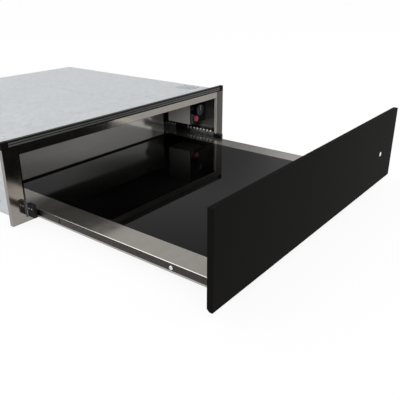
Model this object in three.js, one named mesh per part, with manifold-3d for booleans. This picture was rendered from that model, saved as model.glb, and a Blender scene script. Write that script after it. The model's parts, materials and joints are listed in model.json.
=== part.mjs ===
// A built-in warming drawer, shown pulled open.
// Millimetres, +Z up. X runs across the front, Y runs back into the cabinet.
// The origin is on the underside of the housing, midway across, in the plane of
// the cabinet's front edge. The front frame stands proud of that plane.

import * as THREE from 'three';
import { mergeVertices } from 'three/addons/utils/BufferGeometryUtils.js';
import Module from 'manifold-3d';

const wasm = await Module();
wasm.setup();

// ---------------------------------------------------------------- driving sizes

// sheet metal and clearances
const SHEET = 1.2;
const SEAT_GAP = 0.3;
const SLIDE_PLAY = 0.3;
const SHAFT_END_GAP = 2;
const CUT_PAST = 1;
const MICRON = 0.001;

// housing
const HOUSING_WIDTH = 543;
const HOUSING_DEPTH = 521.2;
const HOUSING_HEIGHT = 137;
const VENT = { length: 40, width: 4, pitch: 10, count: 5, fromFascia: 7, fromBoxSide: 6 };

// front frame round the opening
const FRAME_OVERHANG = 22;
const FRAME_BELOW_COVER = 7;
const FRAME_DEPTH = 8;
const FRAME_PLATE = 1.5;
const POST_WIDTH = 27;
const SILL_HEIGHT = 8.7;
const LINTEL_HEIGHT = 13.5;
const WINDOW_LIP = 5.2;
const REAR_FLANGE = 12;

// black trim along the top of the frame
const TRIM_HEIGHT = 11.7;
const TRIM_RIB = 1;
const TRIM_RIB_PROUD = 0.8;
const TRIM_RIB_INSET = 3.7;
const TRIM_CAP_WIDTH = 13;

// drawer front
const PANEL_WIDTH = 596;
const PANEL_HEIGHT = 135;
const PANEL_THICKNESS = 9;
const PANEL_BOTTOM_Z = 10.5;
const PANEL_EDGE_BEVEL = 1;
const PANEL_REAR_CHAMFER = 3.6;
const BACK_PLATE_THICKNESS = 1.8;
const BACK_PLATE_SIDE_INSET = 9;
const BACK_PLATE_END_INSET = 10;

// how far the drawer stands open, and the gap that the push latch needs when it is shut
const TRAVEL = 392;
const SHUT_GAP = 3.3;

// tray
const TRAY_ABOVE_SILL = 1.3;
const SKIRT_HEIGHT = 15;
const FLANGE_WIDTH = 41.8;
const GLASS_THICKNESS = 4;
const GLASS_LEDGE = 8;
const SEAL_THICKNESS = 1.6;
const SEAL_PROUD = 3;
const REAR_WALL_INSET = 16.7;
const REAR_WALL_HEIGHT = 80;
const REAR_RAIL_HEIGHT = 6;
const REAR_RAIL_DEPTH = 3;
const TRAY_REAR_DECK = 5;
const PAN_THICKNESS = 1;

// telescopic slides: an outer, a middle and an inner member at each side
const SLIDE_HEIGHT = 35.4;
const SLIDE_BOTTOM_Z = 4.8;
const SLIDE_FLANGE = 8.8;
const SLIDE_FRONT_Y = -1;
const SLIDE_REAR_GAP = 16;
const MIDDLE_SHORTER = 5;
const MIDDLE_WIDTH = 6;
const MIDDLE_PROUD = 20;
const BALL_DIAMETER = 5;
const BALL_PITCH = 10;
const BALL_COUNT = 15;
const BALL_PLAY = 0.1;
const CAGE_THICKNESS = 1;
const CAGE_FRONT_Y = 0;
const CAGE_TO_WEB = 2.4;
const CAGE_ARM_PAST_BALL = 1.5;
const INNER_TO_MIDDLE = 1.5;
const INNER_THICKNESS = 1.4;
const INNER_HEIGHT = 10.8;
const INNER_SHORTER = 5.2;
const INNER_SLOT_LENGTH = 8;
const INNER_SLOT_WIDTH = 3;
const INNER_SLOT_FROM_FRONT = 318;
const GLIDE_LENGTH = 22;
const REAR_GLIDE_LENGTH = 30;
const GUIDE_BLOCK_WIDTH = 9;
const GUIDE_BLOCK_LENGTH = 31;
const GUIDE_BLOCK_HEIGHT = 17;

// screws
const SCREW_HEAD_DIAMETER = 6.5;
const SCREW_HEAD_TOP_DIAMETER = 4.6;
const SCREW_HEAD_SHOULDER = 1;
const SCREW_HEAD_HEIGHT = 2;
const SCREW_RECESS = { width: 1.5, length: 3.9, depth: 1 };
const TRAY_SCREW_FROM_FRONT = 87;
const TRAY_SCREW_FROM_REAR = 60;

// brackets that join the tray to the drawer front
const BRACKET_THICKNESS = 1.5;
const BRACKET_WIDTH = 34;
const BRACKET_REACH = 22;
const BRACKET_INSET = 4.5;
const BRACKET_TO_GUIDE = 2.5;
const BRACKET_SCREW_BELOW_TOP = 11.4;

// controls, in a small box at the right of the opening
const CONTROL_BOX_WIDTH = 56.3;
const CONTROL_BOX_BOTTOM_Z = 58;
const CONTROL_BOX_DEPTH = 68.8;
const FASCIA_Y = 26.2;
const FASCIA_THICKNESS = 2.5;
const CONTROLS_FROM_BOX_SIDE = 18;
const BUTTON_ABOVE_BOX = 11.7;
const BUTTON_DIAMETER = 14;
const BUTTON_PROUD = 3;
const BUTTON_EDGE = 0.8;
const BUTTON_TRAVEL = 2;
const BUTTON_STEM_DIAMETER = 7;
const BUTTON_STEM_LENGTH = 6;
const KNOB_TO_BUTTON = 1.5;
const KNOB_DIAMETER = 27;
const KNOB_DEPTH = 14;
const KNOB_FACE_INSET = 1.9;
const KNOB_EDGE = 1.2;
const KNOB_SKIRT = 2;
const KNOB_SHAFT_DIAMETER = 6;
const KNOB_SHAFT_LENGTH = 8;
const POINTER = { width: 2, proud: 1, length: 11 };
const REGULATOR_SIZE = { x: 30, y: 32, z: 34 };
const REGULATOR_RISE = 4;
const SWITCH_SIZE = { x: 17, y: 24, z: 12 };
const SWITCH_DROP = 1.5;
const EDGE_STRIP = { thickness: 3, depth: 12, below: 5 };

// light guide that shows through the drawer front
const LIGHT_GUIDE_DIAMETER = 8.4;
const LIGHT_GUIDE_DOME = 0.4;
const LIGHT_GUIDE_EDGE = 0.8;
const GUIDE_TO_BUTTON = 5.5;

// hot-air fan and heater on the back wall
const FAN_Z = 62;
const FAN_DIAMETER = 76;
const FAN_DEPTH = 11;
const FAN_BLADES = 12;
const BLADE_THICKNESS = 1.5;
const BLADE_ROOT = 2;
const FAN_HUB_DIAMETER = 26;
const FAN_HUB_SUNK = 2;
const FAN_SHAFT_DIAMETER = 5;
const FAN_SHAFT_CLEARANCE = 4;
const FAN_SHAFT_IN_MOTOR = 6;
const FAN_WALL_GAP = 8;
const MOTOR_DIAMETER = 58;
const MOTOR_DEPTH = 18;
const MOTOR_EDGE = 3;
const GUARD_WIDTH = 128;
const GUARD_HEIGHT = 104;
const GUARD_TO_FAN = 2;
const GUARD_STAY_SLOT = { length: 60, width: 10 };
const GUARD_SLOTS = 9;
const GUARD_SLOT_WIDTH = 4;
const GUARD_SLOT_PITCH = 8;
const GUARD_SLOT_INSET = 24;
const ELEMENT_ROD = 6.5;
const ELEMENT_TO_FAN = 8.75;
const ELEMENT_GAP_DEG = 40;
const ELEMENT_PIN = 17;
const ELEMENT_BEND = 6;
const CUTOUT_DIAMETER = 16;
const CUTOUT_HEIGHT = 9;
const CUTOUT_FLANGE = 3;
const CUTOUT_FLANGE_THICKNESS = 1.5;
const CUTOUT_FROM_FAN = 90;

// mains connection
const TERMINAL_BOX = { x: 52, y: 20, z: 34 };
const TERMINAL_FROM_SIDE = 33.5;
const TERMINAL_BELOW_TOP = 25;
const GLAND_DIAMETER = 15;
const GLAND_LENGTH = 14;
const GLAND_NUT = 5;
const GLAND_TAPER = 1.5;
const GLAND_BORE = 7.5;
const HARNESS_DIAMETER = 7;
const HARNESS_FROM_TERMINAL = { x: 18, z: 12 };
const HARNESS_IN_BOX = 8;

// push latch on the back wall
const LATCH_X = -150;
const LATCH_BODY = { x: 30, y: 16.5, z: 16 };
const PLUNGER_DIAMETER = 8;
const PLUNGER_EDGE = 1;
const PLUNGER_PROUD = 9.3;
const PLUNGER_TRAVEL = 3;
const PLUNGER_SOCKET = 11;

// ---------------------------------------------------------------- places worked out

const housingHalf = HOUSING_WIDTH / 2;
const housingInnerHalf = housingHalf - SHEET;
const backWallY = HOUSING_DEPTH - SHEET;
const coverZ = HOUSING_HEIGHT - SHEET;
const frameFrontY = -FRAME_DEPTH;
const frameHalf = housingHalf + FRAME_OVERHANG;
const openingHalf = frameHalf - POST_WIDTH;
const frameTopZ = HOUSING_HEIGHT - FRAME_BELOW_COVER;
const openingTopZ = frameTopZ - LINTEL_HEIGHT;
const overallTopZ = frameTopZ + TRIM_HEIGHT;

// Across each side, from the housing's wall inwards: outer slide, cage, middle slide, inner slide, tray.
const outerFlangeX = housingInnerHalf - SLIDE_FLANGE;
const cageStripX = housingInnerHalf - SHEET - CAGE_TO_WEB - CAGE_THICKNESS;
const middleOuterX = cageStripX - SLIDE_PLAY;
const middleInnerX = middleOuterX - MIDDLE_WIDTH;
const ballX = middleOuterX - MIDDLE_WIDTH / 2;
const innerOuterX = middleInnerX - INNER_TO_MIDDLE;
const trayHalf = innerOuterX - INNER_THICKNESS;
const glassHalf = trayHalf - FLANGE_WIDTH;
const rearWallHalf = glassHalf - REAR_WALL_INSET;

// Upwards: the tray clears the sill, and the balls run between the outer and middle slides.
const skirtBottomZ = SILL_HEIGHT + TRAY_ABOVE_SILL;
const trayTopZ = skirtBottomZ + SKIRT_HEIGHT;
const glassBottomZ = trayTopZ - GLASS_THICKNESS;
const ledgeTopZ = glassBottomZ - SEAT_GAP;
const innerTopZ = trayTopZ - SLIDE_PLAY;
const slideTopZ = SLIDE_BOTTOM_Z + SLIDE_HEIGHT;
const ballRadius = BALL_DIAMETER / 2;
const upperBallZ = slideTopZ - SHEET - BALL_PLAY - ballRadius;
const lowerBallZ = SLIDE_BOTTOM_Z + SHEET + BALL_PLAY + ballRadius;
const middleTopZ = upperBallZ - ballRadius - BALL_PLAY;
const middleBottomZ = lowerBallZ + ballRadius + BALL_PLAY;

// Back into the cabinet: the shut tray stops just short of the latch's plunger.
const drawerShutY = frameFrontY - SHUT_GAP;
const drawerOpenY = drawerShutY - TRAVEL;
const latchFrontY = backWallY - LATCH_BODY.y;
const trayRearShutY = latchFrontY - PLUNGER_PROUD - SEAT_GAP;
const trayLength = trayRearShutY - drawerShutY;
const rearWallY = trayLength - TRAY_REAR_DECK;
const glassLength = rearWallY - SEAL_THICKNESS - 2 * SEAT_GAP;
const innerLength = trayLength - INNER_SHORTER;
const slideLength = backWallY - SLIDE_REAR_GAP - SLIDE_FRONT_Y;
const middleLength = slideLength - MIDDLE_SHORTER;
const middleFrontY = frameFrontY - MIDDLE_PROUD;
const fanY = backWallY - FAN_WALL_GAP - FAN_DEPTH;
const elementRadius = FAN_DIAMETER / 2 + ELEMENT_TO_FAN + ELEMENT_ROD / 2;
const guardFaceY = fanY - SHEET - GUARD_TO_FAN;
const guardHalf = GUARD_WIDTH / 2;
const guardUp = [FAN_Z - GUARD_HEIGHT / 2, FAN_Z + GUARD_HEIGHT / 2];

// Controls, and the light guide that lines up with the button behind the drawer front.
const controlBoxLeftX = housingInnerHalf - CONTROL_BOX_WIDTH;
const controlBoxFrontY = FASCIA_Y + FASCIA_THICKNESS;
const controlBoxRearY = FASCIA_Y + CONTROL_BOX_DEPTH;
const controlX = controlBoxLeftX + CONTROLS_FROM_BOX_SIDE;
const buttonZ = CONTROL_BOX_BOTTOM_Z + BUTTON_ABOVE_BOX;
const knobZ = buttonZ + BUTTON_DIAMETER / 2 + KNOB_TO_BUTTON + KNOB_DIAMETER / 2;
const lightGuideReach = FASCIA_Y - BUTTON_PROUD - GUIDE_TO_BUTTON - drawerShutY;
const bracketTopZ = buttonZ - LIGHT_GUIDE_DIAMETER / 2 - BRACKET_TO_GUIDE;

const terminalX = housingHalf - TERMINAL_FROM_SIDE;
const terminalZ = HOUSING_HEIGHT - TERMINAL_BELOW_TOP;
const harnessX = terminalX + HARNESS_FROM_TERMINAL.x;
const harnessZ = terminalZ + HARNESS_FROM_TERMINAL.z;

// ---------------------------------------------------------------- finishes

function finish(colour, roughness, metalness) {
  return new THREE.MeshStandardMaterial({ color: colour, roughness, metalness });
}
const polishedSteel = () => finish(0xb9b8b4, 0.15, 1);
const brushedSteel = () => finish(0xa3a29e, 0.35, 1);
const galvanised = () => finish(0xb4b7b9, 0.45, 0.9);
const zincPlated = () => finish(0x8f9193, 0.3, 1);
const brightSteel = () => finish(0xd6d6d4, 0.1, 1);
const blackGlass = () => finish(0x050505, 0.04, 0);
const blackPanel = () => finish(0x1d1c1b, 0.55, 0.2);
const blackPlastic = () => finish(0x131314, 0.5, 0);
const redLens = () => finish(0xb02030, 0.25, 0);
const clearLens = () => finish(0xe6e4dc, 0.2, 0);
const whiteCeramic = () => finish(0xe4e1d8, 0.7, 0);

// ---------------------------------------------------------------- shape helpers

// Corners are rounded to a micron, so that faces meant to lie in one plane do.
function toSolid(geometry) {
  const bare = geometry.clone();
  bare.deleteAttribute('normal');
  bare.deleteAttribute('uv');
  const corners = bare.attributes.position;
  for (let i = 0; i < corners.array.length; i += 1) {
    corners.array[i] = Math.round(corners.array[i] / MICRON) * MICRON;
  }
  const merged = mergeVertices(bare, MICRON / 2);
  const mesh = new wasm.Mesh({
    numProp: 3,
    vertProperties: new Float32Array(merged.attributes.position.array),
    triVerts: new Uint32Array(merged.index.array),
  });
  return new wasm.Manifold(mesh);
}

function toGeometry(solid) {
  const mesh = solid.getMesh();
  const geometry = new THREE.BufferGeometry();
  geometry.setAttribute('position', new THREE.BufferAttribute(mesh.vertProperties.slice(), 3));
  geometry.setIndex(new THREE.BufferAttribute(mesh.triVerts.slice(), 1));
  geometry.computeVertexNormals();
  return geometry;
}

function joined(...geometries) {
  return toGeometry(geometries.map(toSolid).reduce((sum, next) => sum.add(next)));
}

function cut(geometry, ...tools) {
  const whole = toSolid(geometry);
  return toGeometry(tools.map(toSolid).reduce((left, tool) => left.subtract(tool), whole));
}

function box([x0, x1], [y0, y1], [z0, z1]) {
  const geometry = new THREE.BoxGeometry(Math.abs(x1 - x0), y1 - y0, z1 - z0);
  geometry.translate((x0 + x1) / 2, (y0 + y1) / 2, (z0 + z1) / 2);
  return geometry;
}

function shapeOf(points) {
  return new THREE.Shape(points.map(([a, b]) => new THREE.Vector2(a, b)));
}

// A section drawn in X and Z, run along Y.
function alongY(points, y0, y1) {
  const geometry = new THREE.ExtrudeGeometry(shapeOf(points), { depth: y1 - y0, bevelEnabled: false });
  geometry.rotateX(Math.PI / 2);
  geometry.translate(0, y1, 0);
  return geometry;
}

// A section drawn in Y and Z, run along X.
function alongX(points, x0, x1) {
  const geometry = new THREE.ExtrudeGeometry(shapeOf(points), { depth: x1 - x0, bevelEnabled: false });
  const turn = new THREE.Matrix4().makeBasis(
    new THREE.Vector3(0, 1, 0),
    new THREE.Vector3(0, 0, 1),
    new THREE.Vector3(1, 0, 0),
  );
  geometry.applyMatrix4(turn);
  geometry.translate(x0, 0, 0);
  return geometry;
}

// A round bar along Y.
function rodY(diameter, x, z, y0, y1, sides = 24) {
  const geometry = new THREE.CylinderGeometry(diameter / 2, diameter / 2, y1 - y0, sides);
  geometry.translate(0, (y0 + y1) / 2, 0);
  geometry.translate(x, 0, z);
  return geometry;
}

// A turned piece: profile points are [radius, distance along Y].
function turnedY(profile, x, z, sides = 24) {
  const points = profile.map(([radius, along]) => new THREE.Vector2(radius, along));
  const geometry = new THREE.LatheGeometry(points, sides);
  geometry.translate(x, 0, z);
  return geometry;
}

// A block whose front face is at Y 0, raised or lowered from the middle.
function block(size, rise = 0) {
  return box([-size.x / 2, size.x / 2], [0, size.y], [rise - size.z / 2, rise + size.z / 2]);
}

// A range of X on one side of the object: side is 1 for the right and -1 for the left.
const across = (side, near, far) => (side > 0 ? [near, far] : [-far, -near]);

function piece(parent, name, geometry, material, place = [0, 0, 0]) {
  const mesh = new THREE.Mesh(geometry, material);
  mesh.name = name;
  mesh.position.set(...place);
  parent.add(mesh);
}

const SIDES = [
  { word: 'left', side: -1 },
  { word: 'right', side: 1 },
];

// ---------------------------------------------------------------- housing

function addHousing(housing) {
  const panFront = frameFrontY + FRAME_PLATE;
  const pan = box([-housingHalf, housingHalf], [panFront, HOUSING_DEPTH], [0, SHEET]);
  piece(housing, 'base_pan', pan, galvanised());
  for (const { word, side } of SIDES) {
    const wall = box(across(side, housingInnerHalf, housingHalf), [0, backWallY], [SHEET, coverZ]);
    piece(housing, `side_wall_${word}`, wall, galvanised());
  }
  piece(housing, 'back_wall', backWall(), galvanised());
  piece(housing, 'top_cover', topCover(), galvanised());
  piece(housing, 'front_frame', frontFrame(), polishedSteel());
  addTrim(housing);
}

function backWall() {
  const through = [backWallY - CUT_PAST, HOUSING_DEPTH + CUT_PAST];
  const tools = [
    rodY(FAN_SHAFT_DIAMETER + FAN_SHAFT_CLEARANCE, 0, FAN_Z, ...through),
    rodY(HARNESS_DIAMETER + 2 * SEAT_GAP, harnessX, harnessZ, ...through),
  ];
  for (const [x, z] of elementEnds()) {
    tools.push(rodY(ELEMENT_ROD + 2 * SEAT_GAP, x, z, ...through));
  }
  const wall = box([-housingHalf, housingHalf], [backWallY, HOUSING_DEPTH], [SHEET, coverZ]);
  return cut(wall, ...tools);
}

// The cover has a row of cooling slots above the control box.
function topCover() {
  const x0 = controlBoxLeftX + VENT.fromBoxSide;
  const throughCover = [coverZ - CUT_PAST, HOUSING_HEIGHT + CUT_PAST];
  const tools = [];
  for (let i = 0; i < VENT.count; i += 1) {
    const y0 = controlBoxFrontY + VENT.fromFascia + VENT.pitch * i;
    tools.push(box([x0, x0 + VENT.length], [y0, y0 + VENT.width], throughCover));
  }
  const cover = box([-housingHalf, housingHalf], [0, HOUSING_DEPTH], [coverZ, HOUSING_HEIGHT]);
  return cut(cover, ...tools);
}

// A folded sheet: the front plate, a lip turned in round the window, sides turned
// back to the cabinet and a flange that rests on the cabinet's front edges.
function frontFrame() {
  const lipHalf = openingHalf + SHEET;
  const solids = [
    box([-frameHalf, frameHalf], [frameFrontY, frameFrontY + FRAME_PLATE], [0, frameTopZ]),
    box([-lipHalf, lipHalf], [frameFrontY, frameFrontY + WINDOW_LIP],
      [SILL_HEIGHT - SHEET, openingTopZ + SHEET]),
    box([-frameHalf, frameHalf], [frameFrontY, 0], [frameTopZ - SHEET, frameTopZ]),
  ];
  for (const { side } of SIDES) {
    solids.push(box(across(side, frameHalf - SHEET, frameHalf), [frameFrontY, 0], [0, frameTopZ]));
    solids.push(box(across(side, frameHalf - REAR_FLANGE, frameHalf), [-SHEET, 0], [0, frameTopZ]));
  }
  const window = box([-openingHalf, openingHalf], [frameFrontY - CUT_PAST, CUT_PAST],
    [SILL_HEIGHT, openingTopZ]);
  return cut(joined(...solids), window);
}

// Black extrusion with two fine ribs along its face, closed by a cap at each end.
function addTrim(housing) {
  const faceY = frameFrontY + TRIM_RIB_PROUD;
  const ribCentres = [frameTopZ + TRIM_RIB_INSET, overallTopZ - TRIM_RIB_INSET];
  const section = [[faceY, frameTopZ]];
  for (const z of ribCentres) {
    section.push([faceY, z - TRIM_RIB / 2]);
    section.push([frameFrontY, z - TRIM_RIB / 2]);
    section.push([frameFrontY, z + TRIM_RIB / 2]);
    section.push([faceY, z + TRIM_RIB / 2]);
  }
  section.push([faceY, overallTopZ], [0, overallTopZ], [0, frameTopZ]);
  const capInner = frameHalf - TRIM_CAP_WIDTH;
  piece(housing, 'top_trim', alongX(section, -capInner, capInner), blackPlastic());
  for (const { word, side } of SIDES) {
    const cap = box(across(side, capInner, frameHalf), [frameFrontY, 0], [frameTopZ, overallTopZ]);
    piece(housing, `trim_cap_${word}`, cap, blackPlastic());
  }
}

// ---------------------------------------------------------------- slides

// A channel section open towards the tray.
function channel(side, mouthX, webX, bottomZ, topZ, y0, y1) {
  const outline = [
    [mouthX, bottomZ], [webX, bottomZ], [webX, topZ], [mouthX, topZ], [mouthX, topZ - SHEET],
    [webX - SHEET, topZ - SHEET], [webX - SHEET, bottomZ + SHEET], [mouthX, bottomZ + SHEET],
  ];
  return alongY(outline.map(([x, z]) => [side * x, z]), y0, y1);
}

// A thin channel-shaped strip with a row of balls held in its top and bottom edges.
function ballCage(side) {
  const length = BALL_PITCH * BALL_COUNT;
  const y0 = CAGE_FRONT_Y;
  const y1 = CAGE_FRONT_Y + length;
  const armX = ballX - CAGE_ARM_PAST_BALL;
  const strip = box(across(side, cageStripX, cageStripX + CAGE_THICKNESS), [y0, y1],
    [lowerBallZ - CAGE_THICKNESS / 2, upperBallZ + CAGE_THICKNESS / 2]);
  const solids = [strip];
  for (const z of [lowerBallZ, upperBallZ]) {
    solids.push(box(across(side, armX, cageStripX + CAGE_THICKNESS), [y0, y1],
      [z - CAGE_THICKNESS / 2, z + CAGE_THICKNESS / 2]));
    for (let i = 0; i < BALL_COUNT; i += 1) {
      const ball = new THREE.SphereGeometry(ballRadius, 6, 4);
      ball.translate(side * ballX, y0 + BALL_PITCH * (i + 0.5), z);
      solids.push(ball);
    }
  }
  return joined(...solids);
}

function addSlides(fixed, middles, cages) {
  for (const { word, side } of SIDES) {
    const outer = channel(side, outerFlangeX, housingInnerHalf, SLIDE_BOTTOM_Z, slideTopZ,
      SLIDE_FRONT_Y, SLIDE_FRONT_Y + slideLength);
    piece(fixed, `slide_outer_${word}`, outer, zincPlated());

    const middle = channel(side, middleInnerX, middleOuterX, middleBottomZ, middleTopZ,
      middleFrontY, middleFrontY + middleLength);
    piece(middles, `slide_middle_${word}`, middle, zincPlated());

    const glideX = innerOuterX + SCREW_HEAD_HEIGHT + SLIDE_PLAY;
    const glide = box(across(side, glideX, middleOuterX - SHEET),
      [middleFrontY, middleFrontY + GLIDE_LENGTH], [middleBottomZ + SHEET, middleTopZ - SHEET]);
    piece(middles, `slide_front_glide_${word}`, glide, blackPlastic());

    piece(cages, `ball_cage_${word}`, ballCage(side), brightSteel());
  }
}

// ---------------------------------------------------------------- controls

function addControls(controls) {
  piece(controls, 'control_box', controlBox(), brushedSteel());
  piece(controls, 'control_fascia', controlFascia(), blackGlass());
  piece(controls, 'temperature_knob', temperatureKnob(), blackPlastic(), [controlX, FASCIA_Y, knobZ]);
  piece(controls, 'power_button', powerButton(), redLens(), [controlX, FASCIA_Y, buttonZ]);

  const strip = box([controlBoxLeftX, controlBoxLeftX + EDGE_STRIP.thickness],
    [controlBoxRearY, controlBoxRearY + EDGE_STRIP.depth], [CONTROL_BOX_BOTTOM_Z - EDGE_STRIP.below, coverZ]);
  piece(controls, 'control_box_edge_strip', strip, blackPlastic());

  const regulator = block(REGULATOR_SIZE, REGULATOR_RISE);
  const shaftBore = rodY(KNOB_SHAFT_DIAMETER + 2 * SEAT_GAP, 0, 0,
    -CUT_PAST, KNOB_SHAFT_LENGTH + SHAFT_END_GAP);
  piece(controls, 'heat_regulator', cut(regulator, shaftBore), blackPlastic(),
    [controlX, controlBoxFrontY, knobZ]);

  const switchBody = block(SWITCH_SIZE, -SWITCH_DROP);
  const stemBore = rodY(BUTTON_STEM_DIAMETER + 2 * SEAT_GAP, 0, 0,
    -CUT_PAST, BUTTON_STEM_LENGTH + SEAT_GAP);
  piece(controls, 'power_switch', cut(switchBody, stemBore), blackPlastic(),
    [controlX, controlBoxFrontY + BUTTON_TRAVEL + SEAT_GAP, buttonZ]);
}

// A folded sheet: left side, floor and back. The housing closes its right side and top.
function controlBox() {
  const acrossBox = [controlBoxLeftX, housingInnerHalf];
  const upBox = [CONTROL_BOX_BOTTOM_Z, coverZ];
  const alongBox = [controlBoxFrontY, controlBoxRearY];
  const wall = box([controlBoxLeftX, controlBoxLeftX + SHEET], alongBox, upBox);
  const floor = box(acrossBox, alongBox, [CONTROL_BOX_BOTTOM_Z, CONTROL_BOX_BOTTOM_Z + SHEET]);
  const back = box(acrossBox, [controlBoxRearY - SHEET, controlBoxRearY], upBox);
  const harnessHole = rodY(HARNESS_DIAMETER + 2 * SEAT_GAP, harnessX, harnessZ,
    controlBoxRearY - SHEET - CUT_PAST, controlBoxRearY + CUT_PAST);
  return cut(joined(wall, floor, back), harnessHole);
}

function controlFascia() {
  const plate = box([controlBoxLeftX, housingInnerHalf], [FASCIA_Y, controlBoxFrontY],
    [CONTROL_BOX_BOTTOM_Z, coverZ]);
  const through = [FASCIA_Y - CUT_PAST, controlBoxFrontY + CUT_PAST];
  return cut(plate,
    rodY(KNOB_SHAFT_DIAMETER + 2 * SEAT_GAP, controlX, knobZ, ...through),
    rodY(BUTTON_DIAMETER + 2 * SEAT_GAP, controlX, buttonZ, ...through));
}

// Turned about its own axis; a raised bar across the face points to the level set.
function temperatureKnob() {
  const radius = KNOB_DIAMETER / 2;
  const shaft = KNOB_SHAFT_DIAMETER / 2;
  const shaftEnd = FASCIA_THICKNESS + KNOB_SHAFT_LENGTH;
  const body = turnedY([
    [0, -KNOB_DEPTH], [radius - KNOB_FACE_INSET, -KNOB_DEPTH],
    [radius - KNOB_FACE_INSET / 2, -KNOB_DEPTH + KNOB_EDGE],
    [radius, -SEAT_GAP - KNOB_SKIRT], [radius, -SEAT_GAP], [shaft, -SEAT_GAP],
    [shaft, shaftEnd], [0, shaftEnd],
  ], 0, 0, 32);
  const pointer = box([-POINTER.width / 2, POINTER.width / 2],
    [-KNOB_DEPTH - POINTER.proud, -KNOB_DEPTH + POINTER.proud], [0, POINTER.length]);
  return joined(body, pointer);
}

function powerButton() {
  const radius = BUTTON_DIAMETER / 2;
  const stem = BUTTON_STEM_DIAMETER / 2;
  const stemEnd = FASCIA_THICKNESS + BUTTON_STEM_LENGTH;
  return turnedY([
    [0, -BUTTON_PROUD], [radius - BUTTON_EDGE, -BUTTON_PROUD], [radius, -BUTTON_PROUD + BUTTON_EDGE],
    [radius, FASCIA_THICKNESS], [stem, FASCIA_THICKNESS], [stem, stemEnd], [0, stemEnd],
  ], 0, 0, 24);
}

// ---------------------------------------------------------------- fan and heater

// The two ends of the ring element, left and right of the gap at its foot.
function elementEnds() {
  const half = THREE.MathUtils.degToRad(ELEMENT_GAP_DEG / 2);
  const footZ = FAN_Z - elementRadius * Math.cos(half);
  return SIDES.map(({ side }) => [side * elementRadius * Math.sin(half), footZ]);
}

// The ring of the element, from one end of its gap round to the other.
class RingCurve extends THREE.Curve {
  constructor(y, start) {
    super();
    this.y = y;
    this.start = start;
  }

  getPoint(t, target = new THREE.Vector3()) {
    const angle = this.start + (2 * Math.PI - 2 * this.start) * t;
    return target.set(-elementRadius * Math.sin(angle), this.y, FAN_Z - elementRadius * Math.cos(angle));
  }
}

// A ring that is open at the foot, with its ends turned back through the wall.
function heatingElement() {
  const ringY = fanY + FAN_DEPTH / 2;
  const halfGap = THREE.MathUtils.degToRad(ELEMENT_GAP_DEG / 2);
  const ring = new RingCurve(ringY, halfGap + ELEMENT_BEND / elementRadius);
  const [first, last] = elementEnds().map(([x, z]) => ({
    tip: new THREE.Vector3(x, ringY + ELEMENT_BEND + ELEMENT_PIN, z),
    foot: new THREE.Vector3(x, ringY + ELEMENT_BEND, z),
    corner: new THREE.Vector3(x, ringY, z),
  }));
  const path = new THREE.CurvePath();
  path.add(new THREE.LineCurve3(first.tip, first.foot));
  path.add(new THREE.QuadraticBezierCurve3(first.foot, first.corner, ring.getPoint(0)));
  path.add(ring);
  path.add(new THREE.QuadraticBezierCurve3(ring.getPoint(1), last.corner, last.foot));
  path.add(new THREE.LineCurve3(last.foot, last.tip));
  const section = new THREE.Shape();
  section.absarc(0, 0, ELEMENT_ROD / 2, 0, 2 * Math.PI, false);
  return new THREE.ExtrudeGeometry(section, {
    steps: 60, curveSegments: 4, extrudePath: path, bevelEnabled: false,
  });
}

function fanWheel() {
  const shaftEnd = FAN_DEPTH + FAN_WALL_GAP + SHEET + FAN_SHAFT_IN_MOTOR;
  const solids = [
    rodY(FAN_DIAMETER, 0, 0, FAN_DEPTH - SHEET, FAN_DEPTH, 32),
    rodY(FAN_HUB_DIAMETER, 0, 0, FAN_HUB_SUNK, FAN_DEPTH, 20),
    rodY(FAN_SHAFT_DIAMETER, 0, 0, FAN_HUB_SUNK + SHEET, shaftEnd, 16),
  ];
  for (let i = 0; i < FAN_BLADES; i += 1) {
    const blade = box([FAN_HUB_DIAMETER / 2 - BLADE_ROOT, FAN_DIAMETER / 2], [0, FAN_DEPTH - SHEET / 2],
      [-BLADE_THICKNESS / 2, BLADE_THICKNESS / 2]);
    blade.rotateY((i / FAN_BLADES) * 2 * Math.PI);
    solids.push(blade);
  }
  return joined(...solids);
}

// A slotted plate in front of the fan, carried off the back wall by a flat stay at each side.
function fanGuard() {
  const slotHalf = guardHalf - GUARD_SLOT_INSET;
  const through = [guardFaceY - CUT_PAST, guardFaceY + SHEET + CUT_PAST];
  const tools = [];
  for (let i = 0; i < GUARD_SLOTS; i += 1) {
    const z = FAN_Z + (i - (GUARD_SLOTS - 1) / 2) * GUARD_SLOT_PITCH;
    tools.push(box([-slotHalf, slotHalf], through, [z - GUARD_SLOT_WIDTH / 2, z + GUARD_SLOT_WIDTH / 2]));
  }
  return cut(box([-guardHalf, guardHalf], [guardFaceY, guardFaceY + SHEET], guardUp), ...tools);
}

function guardStay(side) {
  const plate = box(across(side, guardHalf - SHEET, guardHalf), [guardFaceY + SHEET, backWallY], guardUp);
  const middleY = (guardFaceY + SHEET + backWallY) / 2;
  const slot = box(across(side, guardHalf - SHEET - CUT_PAST, guardHalf + CUT_PAST),
    [middleY - GUARD_STAY_SLOT.width / 2, middleY + GUARD_STAY_SLOT.width / 2],
    [FAN_Z - GUARD_STAY_SLOT.length / 2, FAN_Z + GUARD_STAY_SLOT.length / 2]);
  return cut(plate, slot);
}

function fanMotor() {
  const radius = MOTOR_DIAMETER / 2;
  const body = turnedY([
    [0, 0], [radius, 0], [radius, MOTOR_DEPTH - MOTOR_EDGE],
    [radius - MOTOR_EDGE, MOTOR_DEPTH], [0, MOTOR_DEPTH],
  ], 0, 0, 28);
  const bearing = rodY(FAN_SHAFT_DIAMETER + 2 * SEAT_GAP, 0, 0,
    -CUT_PAST, FAN_SHAFT_IN_MOTOR + SHAFT_END_GAP, 16);
  return cut(body, bearing);
}

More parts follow.
